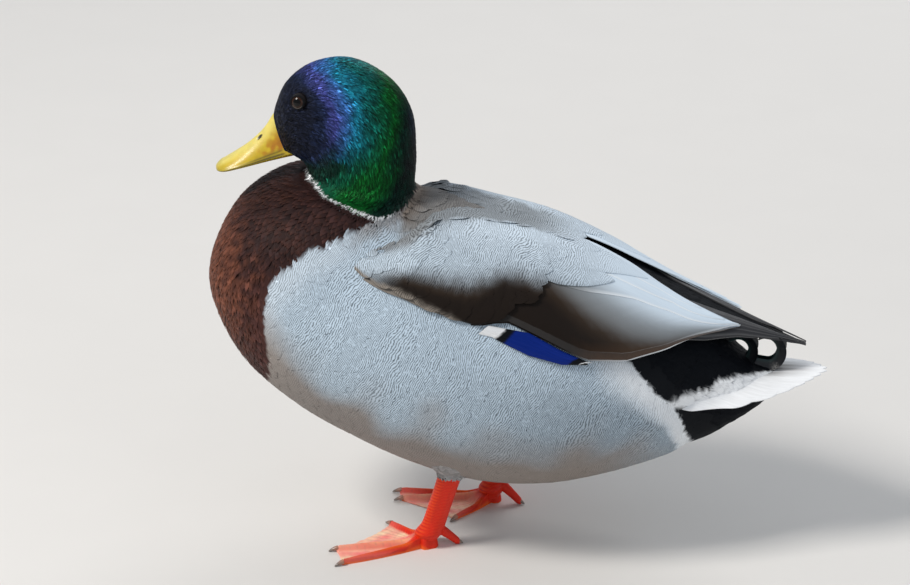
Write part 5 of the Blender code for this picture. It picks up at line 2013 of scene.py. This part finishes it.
    def hind_toe(self) -> tuple[Form, Form]:
        """The raised hind toe, which slopes back and down to the ground, and its claw."""
        back = np.array((math.sqrt(1 - 0.24**2), -0.24 * SIDES[self.side], 0.0))
        share = np.linspace(-0.25, 1.12, 46)[:, None]
        radius = (3.4 - 1.1 * share) * np.sqrt(np.clip((1.14 - share) / 0.16, 0.02, 1))
        radius = radius * (1 + 0.03 * np.abs(np.sin(share * 20)))
        centre = np.array((*self.plan.joint, 0.0)) + back * (5.0 + 12.5 * share[..., None])
        centre[..., 2] = 12.5 - 10.3 * np.clip(share, 0, 2) ** 1.1
        points = round_loops(centre, back + np.array((0, 0, -0.55)), radius, 26)
        points[..., 2] = np.maximum(points[..., 2], 0.02)
        return one_tube(points, plain(self.orange, points)), self.claw(centre[-6, 0], back, 4.0)

    def claw(self, root: Array, ahead: Array, length: float) -> Form:
        """A claw: a cone that narrows by a power and bends down to the ground."""
        share = np.linspace(0, 1, 26)[:, None]
        radius = 1.5 * (1 - share) ** 0.6 + 0.22
        centre = root + ahead * (length * share[..., None])
        centre[..., 2] = np.maximum(radius + 0.02, root[2] * (1 - 0.75 * share**1.6))
        points = round_loops(centre, ahead, radius, 20)
        tint = mix(self.horn, self.quick, ease(0.9, 0.0, share) * 0.9)
        return one_tube(points, plain(tint, points))

    def build(self) -> None:
        """Makes the leg's pieces."""
        side = self.side
        toe, spur = self.hind_toe()
        add_piece(f"leg_{side}_scales", self.shank(), self.finish, "leg_orange", (f"leg_{side}_shank",))
        add_piece(f"foot_{side}_web", self.foot(), self.finish, "leg_orange", (f"foot_{side}",), sharp=75.0)
        add_piece(f"toe_{side}_hind_skin", toe, self.finish, "leg_orange", (f"toe_{side}_hind",))
        claws = [spur]
        for splay, length, girth in zip(self.splays, self.lengths, self.girths):
            root = self.place(length - 1.5, splay, girth * 0.75)
            claws.append(self.claw(root, unit(self.place(length, splay, girth * 0.75) - root), 6.0))
        nodes = tuple(f"claw_{side}_{name}" for name in ("inner", "middle", "outer", "hind"))
        add_piece(f"claws_{side}", joined(claws), self.claws, "claw_horn", nodes)


def round_loops(centre: Array, ahead: Array, radius: Array, count: int) -> Array:
    """Circles of a count of points about centres, square to a direction, as (rows, count, 3)."""
    beside, upper = square_to(unit(ahead))
    turn = all_round(count)[None, :, None]
    return centre + radius[..., None] * (np.cos(turn) * upper + np.sin(turn) * beside)


# ---- studio


@dataclass(frozen=True)
class PaintedFloor:
    """Plain pale floor paint with a faint grain."""

    tone: Colour = (0.72, 0.70, 0.67)

    def material(self) -> bpy.types.Material:
        """The floor's material."""
        tree = Tree("floor_paint")
        tone = tree.noise(0.06, 3.0) * 0.03 + 0.985
        return tree.finish({"Base Color": tree.shade(self.tone, tone), "Roughness": 0.85})


def look_back(name: str, data: bpy.types.ID, place: Array, right: Array, back: Array) -> bpy.types.Object:
    """Adds a camera or a light at a place, which looks away from the direction called back."""
    made = bpy.data.objects.new(name, data)
    bpy.context.scene.collection.objects.link(made)
    axes = np.eye(4)
    axes[:3] = np.stack((right, np.cross(back, right), back, place), axis=1)
    made.matrix_world = Matrix(axes.tolist())
    return made


@dataclass
class Studio:
    """The camera, a pale floor and soft lights."""

    azimuth: float = math.radians(5.0)
    elevation: float = math.radians(23.0)
    distance: float = 2.65
    sideways: float = -0.040705
    upwards: float = 0.152244
    lens: float = 160.5
    floor_size: float = 6.0

    def camera(self) -> None:
        """Sets the camera to the left and above, looking level with the bird's length."""
        a, e = self.azimuth, self.elevation
        right = np.array((math.cos(a), math.sin(a), 0.0))
        back = np.array((math.sin(a) * math.cos(e), -math.cos(a) * math.cos(e), math.sin(e)))
        up = np.cross(back, right)
        data = bpy.data.cameras.new("camera")
        data.lens = self.lens
        data.sensor_width = 36.0
        place = self.sideways * right + self.upwards * up + self.distance * back
        bpy.context.scene.camera = look_back("camera", data, place, right, back)

    def light(self, name: str, place: tuple, size: float, power: float, tone: Colour = (1, 1, 1)) -> None:
        """A square area light that looks at the bird."""
        data = bpy.data.lights.new(name, "AREA")
        data.size = size
        data.energy = power
        data.color = tone
        back = unit(np.array(place) - np.array((0.0, 0.0, 0.15)))
        look_back(name, data, place, unit(np.cross((0.0, 0.0, 1.0), back)), back)

    def build(self) -> None:
        """Makes the camera, the floor, the lights and the even sky, with plain colour management."""
        bpy.context.scene.view_settings.view_transform = "Standard"
        self.camera()
        half, lines = self.floor_size / 2, 40
        places = np.linspace(-half, half, lines)
        grid = np.stack((*np.meshgrid(places, places, indexing="ij"), np.zeros((lines, lines))), axis=-1)
        number = np.arange(lines * lines).reshape(lines, lines)
        faces = np.stack((number[:-1, :-1], number[1:, :-1], number[1:, 1:], number[:-1, 1:]), axis=-1)
        mesh = bpy.data.meshes.new("studio_floor")
        mesh.from_pydata(grid.reshape(-1, 3).tolist(), [], faces.reshape(-1, 4).tolist())
        mesh.materials.append(PaintedFloor().material())
        floor = bpy.data.objects.new("studio_floor", mesh)
        bpy.context.scene.collection.objects.link(floor)
        self.light("key", (-1.7, -1.0, 2.3), 0.8, 70.0, (1.0, 0.97, 0.93))
        self.light("fill", (1.8, -1.6, 1.0), 1.6, 8.0, (0.90, 0.95, 1.0))
        self.light("rim", (0.6, 1.7, 1.5), 1.2, 14.0)
        world = bpy.data.worlds.new("studio_sky")
        world.use_nodes = True
        world.node_tree.nodes["Background"].inputs["Color"].default_value = (0.80, 0.86, 0.95, 1.0)
        world.node_tree.nodes["Background"].inputs["Strength"].default_value = 0.42
        bpy.context.scene.world = world


def main() -> None:
    """Builds the studio and then the bird, from the skin outwards."""
    logging.basicConfig(level=logging.INFO, format="%(message)s")
    Studio().build()
    Skin().build()
    Plumage().grow()
    for side in SIDES:
        Wing(side).build()
    Tail().build()
    Bill().build()
    for side in SIDES:
        Eye(side).build()
        Leg(side).build()


if __name__ == "__main__":
    main()
